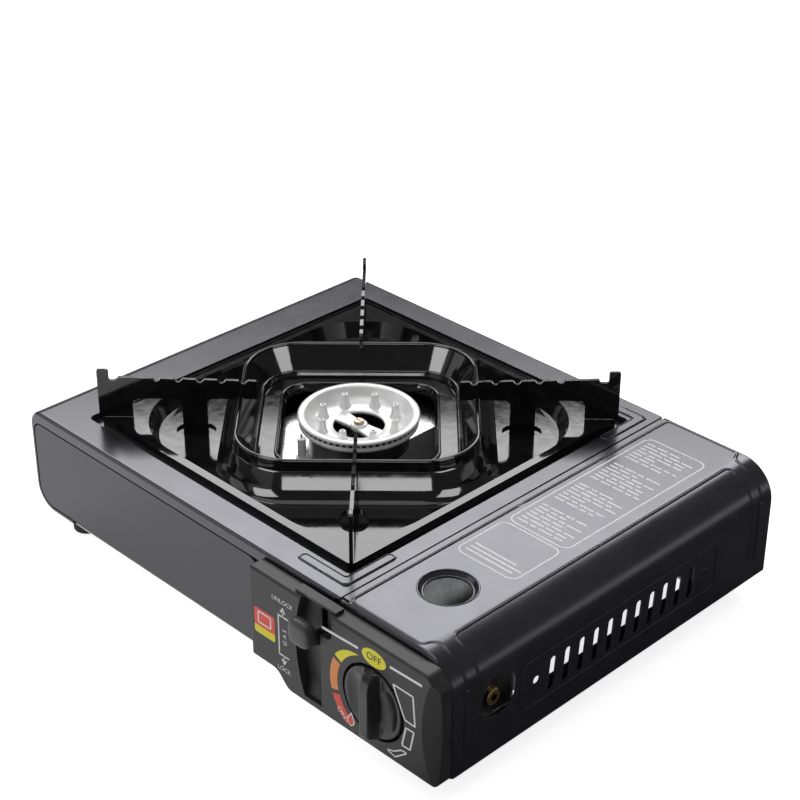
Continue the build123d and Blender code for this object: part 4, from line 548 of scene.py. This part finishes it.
panel_print("marks_red", red, "red")
panel_print("marks_yellow", yellow, "yellow", 0.8)
panel_print("marks_orange", orange, "orange")
words("word_off", "OFF", 6.0, OFF_SPOT, "ink_black")
words("word_on", "ON", 4.6, (104.4, 20.6), "white", -38.0)
words("word_unlock", "UNLOCK", 3.9, (61.0, 66.2), "white")
words("word_lock", "LOCK", 3.9, (61.0, 23.4), "white")
words("word_gas", "G A S", 4.2, (62.2, 44.6), "white", 90.0)
panel_print("flame_white", [leaf((110.9, 15.6), 5.6, 9.4, 0.8)], "white", 1.4)
panel_print("flame_red", [leaf((110.9, 16.4), 3.9, 7.2, 0.7)], "red", 1.9)


# ---------------------------------------------------------------- the lid's label: no words, only bars
LABEL_LEFT = 105.6
LABEL_FIRST = -11.0        # the ruled lines' y starts here
LABEL_LAST = 98.0          # and stays under this
LABEL_PITCH = 3.3
LABEL_BAR = 1.15           # a bar's thickness
LABEL_GAP = 1.5
LABEL_SHORTEST = 3.0       # no dash starts nearer than this to its line's end
LABEL_REACHES = (34.0, 31.0, 35.0, 27.0, 33.0, 19.0)
LABEL_DASHES = (7.4, 4.2, 9.6, 5.6, 6.8)
BLOCK_LINES = 7            # ruled lines in a block
BLOCK_PITCH = 9            # and with the blank lines after it
NOTE_LEFT = 106.0          # the three bars in the small frame
NOTE_FIRST = -51.0
NOTE_PITCH = 3.4


def ruled_line(y, reach, first_dash):
    """Dashes of mixed lengths, in place of a line of words."""
    dashes = []
    right = LABEL_LEFT + reach
    x = LABEL_LEFT
    dash = first_dash
    while x < right - LABEL_SHORTEST:
        end = min(x + LABEL_DASHES[dash % len(LABEL_DASHES)], right)
        dashes.append(bar((x, y), (end, y), LABEL_BAR))
        x = end + LABEL_GAP
        dash += 1
    return dashes


def lid_label():
    loops = [box_line(102.4, 143.6, -15.6, 103.0, 5.0, 0.9), box_line(102.4, 143.0, -55.6, -18.2, 5.0, 0.9)]
    y = LABEL_FIRST
    step = 0
    while y < LABEL_LAST:
        if step % BLOCK_PITCH < BLOCK_LINES:
            loops += ruled_line(y, LABEL_REACHES[step % len(LABEL_REACHES)], step)
        y += LABEL_PITCH
        step += 1
    for k, reach in enumerate((32.0, 35.0, 29.0)):
        y = NOTE_FIRST + NOTE_PITCH * k
        loops.append(bar((NOTE_LEFT, y), (NOTE_LEFT + reach, y), LABEL_BAR))
    return loops


add_piece("lid_label", print_mesh("lid_label", lid_label(), on_case), "label", "lid")


# ---------------------------------------------------------------- pressed lines in the steel
RIDGE_ACROSS = (-1.0, -0.8, -0.5, -0.2, 0.0, 0.2, 0.5, 0.8, 1.0)
RIDGE_ENDS = (0.02, 0.6, 0.9, 1.0)      # how a line rises over its first points
RIDGE_EDGE = 0.02                       # how far its edges lie under the skin
RIDGE_FOOT = 0.25                       # and its closed underside
BEND_SHARE = 0.48                       # the most of a run that one rounded corner may take


def smooth_way(points, radius, step=1.5, bend=6):
    """Round an open way's corners and divide its runs."""
    spots = [Vector(p) for p in points]
    out = [spots[0]]
    for k in range(1, len(spots) - 1):
        corner = spots[k]
        before = spots[k - 1] - corner
        after = spots[k + 1] - corner
        room = min(radius, before.length * BEND_SHARE, after.length * BEND_SHARE)
        start = corner + before.normalized() * room
        end = corner + after.normalized() * room
        for j in range(bend + 1):
            t = j / bend
            out.append(start * (1 - t) ** 2 + corner * 2 * t * (1 - t) + end * t ** 2)
    out.append(spots[-1])
    fine = [out[0]]
    for p, q in zip(out, out[1:]):
        parts = max(1, int((q - p).length / step))
        fine += [p.lerp(q, (j + 1) / parts) for j in range(parts)]
    return fine


def ridge(name, ways, spot, width, height, look, body, radius):
    """Rounded pressed lines that follow a skin."""
    bm = bmesh.new()
    for points in ways:
        way = smooth_way(points, radius)
        last = len(way) - 1
        rings = []
        for k, at in enumerate(way):
            ahead = (way[min(k + 1, last)] - way[max(k - 1, 0)]).normalized()
            side = Vector((-ahead.y, ahead.x))
            fade = RIDGE_ENDS[min(k, last - k, len(RIDGE_ENDS) - 1)]
            ring = []
            for t in RIDGE_ACROSS:
                rise = height * fade * (0.5 + 0.5 * math.cos(math.pi * t)) - RIDGE_EDGE
                p = at + side * t * width / 2
                ring.append(bm.verts.new(spot(p.x, p.y, rise)))
            for t in (1.0, -1.0):
                p = at + side * t * width / 2
                ring.append(bm.verts.new(spot(p.x, p.y, -RIDGE_FOOT)))
            rings.append(ring)
        join_rows(bm, rings)
        bm.faces.new(rings[0])
        bm.faces.new(rings[-1][::-1])
    add_piece(name, finish_mesh(bm, name, quad_face), look, body)


def mirrored(way):
    return [(x, -y) for x, y in way]


LINE_DROP = 34.0           # how far the lines run down the lid's side
SHOULDER = LID_FLAT + 2.6
SIDE_LOW = LID_FLAT + LID_ROUND * math.pi / 2 + LINE_DROP
outer_line = [(97.9, 0.0), (97.9, -125.8), (147.6, -125.8), (149.6, -120.2), (153.0, -118.2),
              (SIDE_LOW, -118.2)]
inner_line = [(SHOULDER, 0.0), (SHOULDER, -109.6), (SIDE_LOW - 2, -109.6)]
lid_lines = [outer_line, mirrored(outer_line), inner_line, mirrored(inner_line)]
ridge("lid_pressed_lines", lid_lines, on_lid, 2.4, 0.5, "lid", "lid", 4.0)


# ---------------------------------------------------------------- the knob's dial
KNOB_FACE = -139.1
KNOB_REAR = -133.6
KNOB_RADIUS = 20.3
KNOB_ROUND = 1.0           # the round of the dial's edge
KNOB_SIDE = 1.1            # where its straight side starts, behind the face
KNOB_TURNS = 144
KNOB_RINGS = 52            # evenly spaced rings over its face; the last two give way to finer ones
KNOB_RIM = (0.5, 0.25, 0.08, 0.0)
STUB_RADIUS = 6.0
STUB_END = -129.8
GRIP = 6.3                 # how far the grip stands out
GRIP_HALF = 6.0            # half its width at the foot
GRIP_SLOPE = 3.4           # how wide each of its slopes is
GRIP_TOP = 8.0             # where its top end starts to fall, and over what length
GRIP_TOP_FALL = 12.0
GRIP_LOW = 17.5            # and its lower end
GRIP_LOW_FALL = 3.4
SCOOP_DEPTH = 1.8          # the hollow at each side of the grip
SCOOP_AT = 11.0
SCOOP_WIDE = 7.2
SCOOP_LONG = 14.2
SCOOP_EASE = 1.1


def smooth_step(t):
    t = min(max(t, 0.0), 1.0)
    return t * t * (3 - 2 * t)


def quarter_fall(t):
    """The height of a quarter circle that falls from 1 to 0."""
    return math.sqrt(max(0.0, 1 - t ** 2))


def knob_height(a, b):
    """How far the knob's front stands proud of its rim, at (a, b) from its middle."""
    hollow = 1 - ((abs(a) - SCOOP_AT) / SCOOP_WIDE) ** 2 - (b / SCOOP_LONG) ** 2
    low = -SCOOP_DEPTH * smooth_step(hollow / SCOOP_EASE)
    along = 1.0
    if b > GRIP_TOP:
        along = quarter_fall((b - GRIP_TOP) / GRIP_TOP_FALL)
    if b < -GRIP_LOW:
        along = quarter_fall((-GRIP_LOW - b) / GRIP_LOW_FALL)
    across = smooth_step((GRIP_HALF - abs(a)) / GRIP_SLOPE)
    edge = max(0.0, math.hypot(a, b) - KNOB_RADIUS + KNOB_ROUND)
    rim = KNOB_ROUND * (1.0 - quarter_fall(edge / KNOB_ROUND))
    return low * (1 - across) + GRIP * across * along - rim


def knob_ring(far, y=None):
    """A ring of points about the knob's axis, on its face or at a given depth."""
    ring = []
    for turn in whole_turn(KNOB_TURNS):
        a = far * math.cos(turn)
        b = far * math.sin(turn)
        depth = KNOB_FACE - knob_height(a, b) if y is None else y
        ring.append(place(KNOB[0] + a, depth, KNOB[1] + b))
    return ring


def knob_dial():
    radii = [KNOB_RADIUS * k / KNOB_RINGS for k in range(1, KNOB_RINGS - 1)]
    radii += [KNOB_RADIUS - inset for inset in KNOB_RIM]
    rows = [knob_ring(far) for far in radii]
    rows += [knob_ring(KNOB_RADIUS, KNOB_FACE + KNOB_SIDE), knob_ring(KNOB_RADIUS, KNOB_REAR)]
    rows += [knob_ring(STUB_RADIUS, KNOB_REAR), knob_ring(STUB_RADIUS, STUB_END)]
    return capped_mesh("knob_dial", rows, place(KNOB[0], KNOB_FACE - GRIP, KNOB[1]),
                       place(KNOB[0], STUB_END, KNOB[1]))


add_piece("knob_dial", knob_dial(), "knob", "knob_set", ("knob",))


# ---------------------------------------------------------------- the lock lever's thumb pad
PAD_MIDDLE = (80.8, -143.5, 60.5)
PAD_HALF = (7.7, 4.1, 7.5)
PAD_FULLNESS = 3.4         # 2 would be an ellipsoid, and more is nearer to a box


def soft(v):
    return math.copysign(abs(v) ** (2.0 / PAD_FULLNESS), v)


def thumb_pad(rings=28, turns=56):
    """A box with full, soft corners."""
    x0, y0, z0 = PAD_MIDDLE
    wide, deep, high = PAD_HALF
    rows = []
    for i in range(1, rings):
        tilt = math.pi * i / rings - math.pi / 2
        row = []
        for turn in whole_turn(turns):
            x = wide * soft(math.cos(tilt)) * soft(math.cos(turn))
            z = high * soft(math.cos(tilt)) * soft(math.sin(turn))
            row.append(place(x0 + x, y0 + deep * soft(math.sin(tilt)), z0 + z))
        rows.append(row)
    return capped_mesh("thumb_pad", rows, place(x0, y0 - deep, z0), place(x0, y0 + deep, z0))


add_piece("thumb_pad", thumb_pad(), "cap", "lever", ("lever_cap",))


# ---------------------------------------------------------------- rolled edges of the viewing hole
def view_hole_bead(name, radius, z, thick, steps=96, sides=12):
    rows = []
    for turn in whole_turn(steps):
        row = []
        for roll in whole_turn(sides):
            x, y = around(VIEW, radius + thick * math.cos(roll), turn)
            row.append(place(x, y, z + thick * math.sin(roll)))
        rows.append(row)
    add_piece(name, band_mesh(name, rows), "lid", "lid")


view_hole_bead("view_hole_rim", 15.7, 79.55, 0.62)
view_hole_bead("view_hole_lip", 13.0, 77.35, 0.6)


# ---------------------------------------------------------------- the burner
PORTS = 56
PORT_REACH = (33.4, 34.12)         # inner and outer radius of the painted shade in the slots
PORT_LOW = 80.7
PORT_HIGH = 82.5
PORT_HALF = 1.1 / 34.0             # half a slot's angle
BOX_FACES = ((0, 1, 2, 3), (4, 5, 6, 7), (0, 1, 5, 4), (1, 2, 6, 5), (2, 3, 7, 6), (3, 0, 4, 7))

# Profiles as (radius, height).
DISH = [(15.0, 74.7), (15.0, 76.0), (15.4, 76.3), (19.0, 76.35), (22.5, 76.6), (25.0, 77.3), (27.2, 78.5),
        (28.8, 80.2), (29.9, 82.0), (30.7, 83.5), (31.5, 84.3), (32.4, 84.5), (34.2, 84.5), (35.0, 84.2),
        (35.5, 83.6), (35.5, 83.0), (34.1, 82.9), (34.0, 79.75), (34.6, 79.6), (34.8, 78.3), (34.0, 77.65),
        (27.4, 77.65), (27.4, 74.7)]
POST = [(3.9, 75.9), (3.7, 76.6), (2.95, 78.0), (2.5, 80.0), (2.2, 82.6), (2.0, 84.2), (1.6, 84.6),
        (1.05, 84.6), (0.9, 84.3), (0.9, 81.0)]
HUB = [(5.0, 73.65), (5.0, 76.6), (4.5, 77.3), (4.0, 77.4), (1.7, 77.4), (1.7, 73.65)]
POSTS = 8
POST_AT = 22.8                     # the posts' distance from the burner's axis
SPOKE_END = 15.8                   # half the cross spoke's length
SPOKE_WAIST = 3.9                  # half its width at the hub
SPOKE_FLARE = 1.8                  # what it gains at SPOKE_FLARE_AT from the hub
SPOKE_FLARE_AT = 15.6
SPOKE_HEIGHTS = (73.65, 76.15)


def burner_ports():
    """Dark boxes of painted shade, standing for the insides of the slots round the burner's rim."""
    bm = bmesh.new()
    for turn in whole_turn(PORTS):
        corners = []
        for far in PORT_REACH:
            for side, z in ((-1, PORT_LOW), (1, PORT_LOW), (1, PORT_HIGH), (-1, PORT_HIGH)):
                x, y = around(BURNER, far, turn + side * PORT_HALF)
                corners.append(bm.verts.new(place(x, y, z)))
        for face in BOX_FACES:
            bm.faces.new([corners[j] for j in face])
    return finish_mesh(bm, "burner_ports", no_face)


add_piece("burner_ports", burner_ports(), "painted_slot_shade", "housing")


# ---------------------------------------------------------------- the pan's ring
SKIRT = [(69.0, 33.0, 87.4), (69.6, 33.6, 87.1), (70.1, 34.1, 86.3), (73.2, 37.2, 78.6), (74.2, 38.2, 76.4),
         (76.4, 40.4, 73.8), (78.4, 42.4, 72.3), (79.4, 43.4, 72.02), (79.4, 43.4, 71.9), (69.0, 33.0, 71.9)]


def pan_square(half, corner, steps):
    """A square with round corners, turned by 45 degrees as the pan's ring is."""
    spin = Matrix.Rotation(math.radians(45), 2)
    square = [(-half, -half), (half, -half), (half, half), (-half, half)]
    return [spin @ p for p in rounded(square, corner, steps)]


def ring_skirt():
    """The slanted foot of the ring: square loops given as (half, corner, height)."""
    rows = []
    for half, corner, z in SKIRT:
        rows.append([place(BURNER[0] + p.x, BURNER[1] + p.y, z) for p in pan_square(half, corner, 16)])
    return band_mesh("ring_skirt", rows)


def pan_bead(name, half, corner, z, thick, squash=1.0, sides=12):
    """A rolled edge of the ring."""
    way = pan_square(half, corner, 14)
    rows = []
    for k, spot in enumerate(way):
        ahead = (way[(k + 1) % len(way)] - way[k - 1]).normalized()
        out = Vector((ahead.y, -ahead.x))
        row = []
        for roll in whole_turn(sides):
            p = spot + out * thick * math.cos(roll)
            row.append(place(BURNER[0] + p.x, BURNER[1] + p.y, z + squash * thick * math.sin(roll)))
        rows.append(row)
    add_piece(name, band_mesh(name, rows), "enamel", "pan_set")


add_piece("ring_skirt", ring_skirt(), "enamel", "pan_set")


# ---------------------------------------------------------------- the burner's casting
def add_spun(bm, center, profile, steps, closed=True):
    """A turned shape: its profile closes on itself, or ends in a flat face at each end."""
    rings = []
    for far, z in profile:
        rings.append([bm.verts.new(place(*around(center, far, turn), z)) for turn in whole_turn(steps)])
    join_rows(bm, rings, closed)
    if not closed:
        bm.faces.new(rings[0])
        bm.faces.new(rings[-1])


def add_spoke(bm, steps=24):
    """The flat spoke across the throat, which widens towards both ends."""
    edge = []
    for k in range(steps + 1):
        x = -SPOKE_END + 2 * SPOKE_END * k / steps
        edge.append((x, SPOKE_WAIST + SPOKE_FLARE * (x / SPOKE_FLARE_AT) ** 2))
    outline = edge + [(x, -half) for x, half in reversed(edge)]
    faces = []
    for z in SPOKE_HEIGHTS:
        faces.append([bm.verts.new(place(BURNER[0] + x, BURNER[1] + y, z)) for x, y in outline])
    join_rows(bm, faces)
    for face in faces:
        bm.faces.new(face)


def burner_casting():
    bm = bmesh.new()
    add_spun(bm, BURNER, DISH, 160)
    for k in range(POSTS):
        turn = math.radians(360 / POSTS * (k + 0.5))
        add_spun(bm, around(BURNER, POST_AT, turn), POST, 28, closed=False)
    add_spun(bm, BURNER, HUB, 48)
    add_spoke(bm)
    return finish_mesh(bm, "burner_casting", quad_face)


add_piece("burner_casting", burner_casting(), "alloy", "housing", ("burner_head",))


# ---------------------------------------------------------------- hooked lines beside the pan's corners
BEAD_OUT = (2.6, 5.8)      # how far the middle of their corner lies outside the pan's seat, in x and y
BEAD_END = 33.0            # each leg's length
BEAD_HALF = 2.5            # half the distance between a leg's two lines
BEAD_GAP = 0.5             # what is left between the way's end and its start


def corner_bead_way(side):
    x = BURNER[0] + SEAT_HALF + BEAD_OUT[0]
    y = side * (SEAT_HALF + BEAD_OUT[1])
    outer_x, inner_x = x + BEAD_HALF, x - BEAD_HALF
    outer_y, inner_y = y + side * BEAD_HALF, y - side * BEAD_HALF
    leg_x, leg_y = x - BEAD_END, y - side * BEAD_END
    start_x = x - BEAD_END / 2
    return [(start_x, outer_y), (outer_x, outer_y), (outer_x, leg_y), (inner_x, leg_y),
            (inner_x, inner_y), (leg_x, inner_y), (leg_x, outer_y), (start_x + BEAD_GAP, outer_y)]


ridge("corner_beads", [corner_bead_way(-1), corner_bead_way(1)], on_case, 2.1, 1.0, "case", "housing", 2.4)
pan_bead("throat_bead", 46.2, 15.4, 77.25, 1.0)
pan_bead("shelf_bead", 57.6, 21.8, 79.4, 0.9)
pan_bead("ring_bead", 67.75, 31.8, 93.05, 1.15, 0.85)


# ---------------------------------------------------------------- floor and world, in metres
WHITE = (1.0, 1.0, 1.0, 1.0)
PAPER = 0.8                # the floor's tone
PAPER_PAINTED_SHADE = 0.02           # painted shade: its darker tone in reflections, on the right
PAPER_SEEN = 0.78          # its own light to the camera
MIRROR_GLOW = 0.55         # and to reflections
FADE_FROM = 0.11           # the x between which that light fades out
FADE_TO = 0.17
PAINTED_SHADE_PATCH = (("X", 0.128, 0.009), ("Y", -0.0285, 0.006))    # painted shade on the floor under the case, seen through the hose port: the patch's middle and half


def plane(name, size, z):
    mesh = bpy.data.meshes.new(name)
    half = size / 2
    corners = [(-half, -half, z), (half, -half, z), (half, half, z), (-half, half, z)]
    mesh.from_pydata(corners, [], [(0, 1, 2, 3)])
    obj = bpy.data.objects.new(name, mesh)
    bpy.context.scene.collection.objects.link(obj)
    return obj


def grey(tone):
    return (tone, tone, tone, 1.0)


def floor_material():
    """White paper that keeps the shadow; painted shade darkens its reflection towards the object's right, and
    a painted shade patch lies under the case where the hose port looks through.
    """
    mat = new_material("floor_paper", (PAPER, PAPER, PAPER), 0.95, Specular_IOR_Level=0.1)
    shader = mat.node_tree.nodes["Principled BSDF"]
    rays = node(mat, "ShaderNodeLightPath")
    spot = node(mat, "ShaderNodeNewGeometry")
    split = node(mat, "ShaderNodeSeparateXYZ")
    link(mat, spot.outputs["Position"], split.inputs["Vector"])
    fade = map_range(mat, split.outputs["X"], FADE_FROM, FADE_TO, MIRROR_GLOW, 0.0)
    mirror = combine(mat, "MULTIPLY", fade, rays.outputs["Is Glossy Ray"])
    # painted shade: the paper's own light to the camera is switched off in a small patch under the case
    inside = []
    for axis, middle, half in PAINTED_SHADE_PATCH:
        compare = node(mat, "ShaderNodeMath", operation="COMPARE")
        link(mat, split.outputs[axis], compare.inputs[0])
        compare.inputs[1].default_value = middle
        compare.inputs[2].default_value = half
        inside.append(compare.outputs[0])
    dark = combine(mat, "MULTIPLY", *inside)
    bright = map_range(mat, dark, 0.0, 1.0, PAPER_SEEN, 0.0)
    seen = combine(mat, "MULTIPLY", rays.outputs["Is Camera Ray"], bright)
    # painted shade: in reflections the paper turns darker towards the right
    dim = map_range(mat, fade, MIRROR_GLOW, 0.0, 0.0, 0.95)
    shade = combine(mat, "MULTIPLY", dim, rays.outputs["Is Glossy Ray"])
    paper = node(mat, "ShaderNodeMix", data_type="RGBA")
    tones = {"A": grey(PAPER), "B": grey(PAPER_PAINTED_SHADE)}
    for socket in paper.inputs:
        if socket.type == "RGBA":
            socket.default_value = tones[socket.name]
    link(mat, shade, paper.inputs["Factor"])
    link(mat, paper.outputs[2], shader.inputs["Base Color"])
    shader.inputs["Emission Color"].default_value = WHITE
    link(mat, combine(mat, "ADD", mirror, seen), shader.inputs["Emission Strength"])
    return mat


def studio_world(lit=0.32, mirrored_light=0.15):
    """White to the camera; dimmer as a light, and dimmer still in reflections."""
    world = bpy.data.worlds.new("studio")
    bpy.context.scene.world = world
    world.use_nodes = True
    back = world.node_tree.nodes["Background"]
    back.inputs["Color"].default_value = WHITE
    rays = node(world, "ShaderNodeLightPath")
    glow = map_range(world, rays.outputs["Is Glossy Ray"], 0.0, 1.0, lit, mirrored_light)
    link(world, combine(world, "MAXIMUM", glow, rays.outputs["Is Camera Ray"]), back.inputs["Strength"])


floor = plane("floor", 12.0, 0.0)
dress(floor, floor_material())
studio_world()


# ---------------------------------------------------------------- lights, in metres
WALL_WAY = Vector((-0.711, 0.703, 0.0))
WALL_FAR = 1.7
WALL_LOW = 29.9            # the soft box's lower and upper edge, as elevations in degrees
WALL_HIGH = 49.0
WALL_WIDTH = 2.4
AIM_HEIGHT = 0.08          # the height that the elevations are taken from


def area_light(name, at, aim, width, height, radiance):
    data = bpy.data.lights.new(name, "AREA")
    data.shape = "RECTANGLE"
    data.size = width
    data.size_y = height
    data.energy = radiance * math.pi * width * height
    obj = bpy.data.objects.new(name, data)
    bpy.context.scene.collection.objects.link(obj)
    obj.location = at
    obj.rotation_euler = (Vector(aim) - Vector(at)).to_track_quat("-Z", "Y").to_euler()
    return obj


def wall_box(radiance):
    """A wide soft box behind the object."""
    low = WALL_FAR * math.tan(math.radians(WALL_LOW)) + AIM_HEIGHT
    high = WALL_FAR * math.tan(math.radians(WALL_HIGH)) + AIM_HEIGHT
    at = WALL_WAY * WALL_FAR + Vector((0, 0, (low + high) / 2))
    area_light("wall_box", at, at - WALL_WAY, WALL_WIDTH, high - low, radiance)


def pan_collection():
    """Everything in the pan's enamel, for the lights that show only there."""
    made = bpy.data.collections.new("pan_lit")
    for obj in bpy.data.objects:
        if obj.type == "MESH" and obj.data.materials and obj.data.materials[0] == M["enamel"]:
            made.objects.link(obj)
    return made


def glint(name, at, width, height, radiance, lit):
    light = area_light(name, at, (0, 0, 0.07), width, height, radiance)
    light.visible_diffuse = False
    light.light_linking.receiver_collection = lit


wall_box(5.0)
area_light("top_box", (-0.3, -0.1, 1.9), (0, 0, 0), 1.5, 1.5, 1.3)
area_light("left_box", (-1.6, -1.2, 1.1), (0, 0, 0.05), 1.0, 1.2, 1.0)
area_light("front_box", (-0.3, -2.0, 1.0), (0, 0, 0.04), 1.6, 1.2, 0.45)
pan_lit = pan_collection()
glint("glint_right", (1.41, 0.12, 1.11), 0.9, 0.9, 8.0, pan_lit)
glint("glint_left", (-0.12, -1.41, 1.11), 0.9, 0.9, 8.0, pan_lit)
glint("glint_near", (1.25, -1.25, 0.52), 1.1, 0.36, 9.0, pan_lit)
side_card = area_light("side_card", (1.3, 1.05, 0.2), (0, 0, 0.07), 0.9, 0.3, 0.8)
side_card.visible_diffuse = False


# ---------------------------------------------------------------- the photograph's camera, in metres
CAMERA_AT = (0.65808434753, -0.6447878177 + SHIFT_Y * MM, 0.63166526157)
CAMERA_RIGHT = Vector((0.70185136, 0.71232013, 0.00216799))
CAMERA_UP = Vector((-0.35528246, 0.34741979, 0.86779828))
CAMERA_BACK = Vector((0.61739699, -0.60983565, 0.4969119))
SENSOR = 36.0              # in mm
LENS = 85.053

camera_data = bpy.data.cameras.new("camera")
camera_data.sensor_width = SENSOR
camera_data.lens = LENS
camera = bpy.data.objects.new("camera", camera_data)
bpy.context.scene.collection.objects.link(camera)
turned = Matrix((CAMERA_RIGHT, CAMERA_UP, CAMERA_BACK)).transposed().to_4x4()
camera.matrix_world = Matrix.Translation(CAMERA_AT) @ turned
bpy.context.scene.camera = camera
bpy.context.scene.view_settings.view_transform = "Standard"
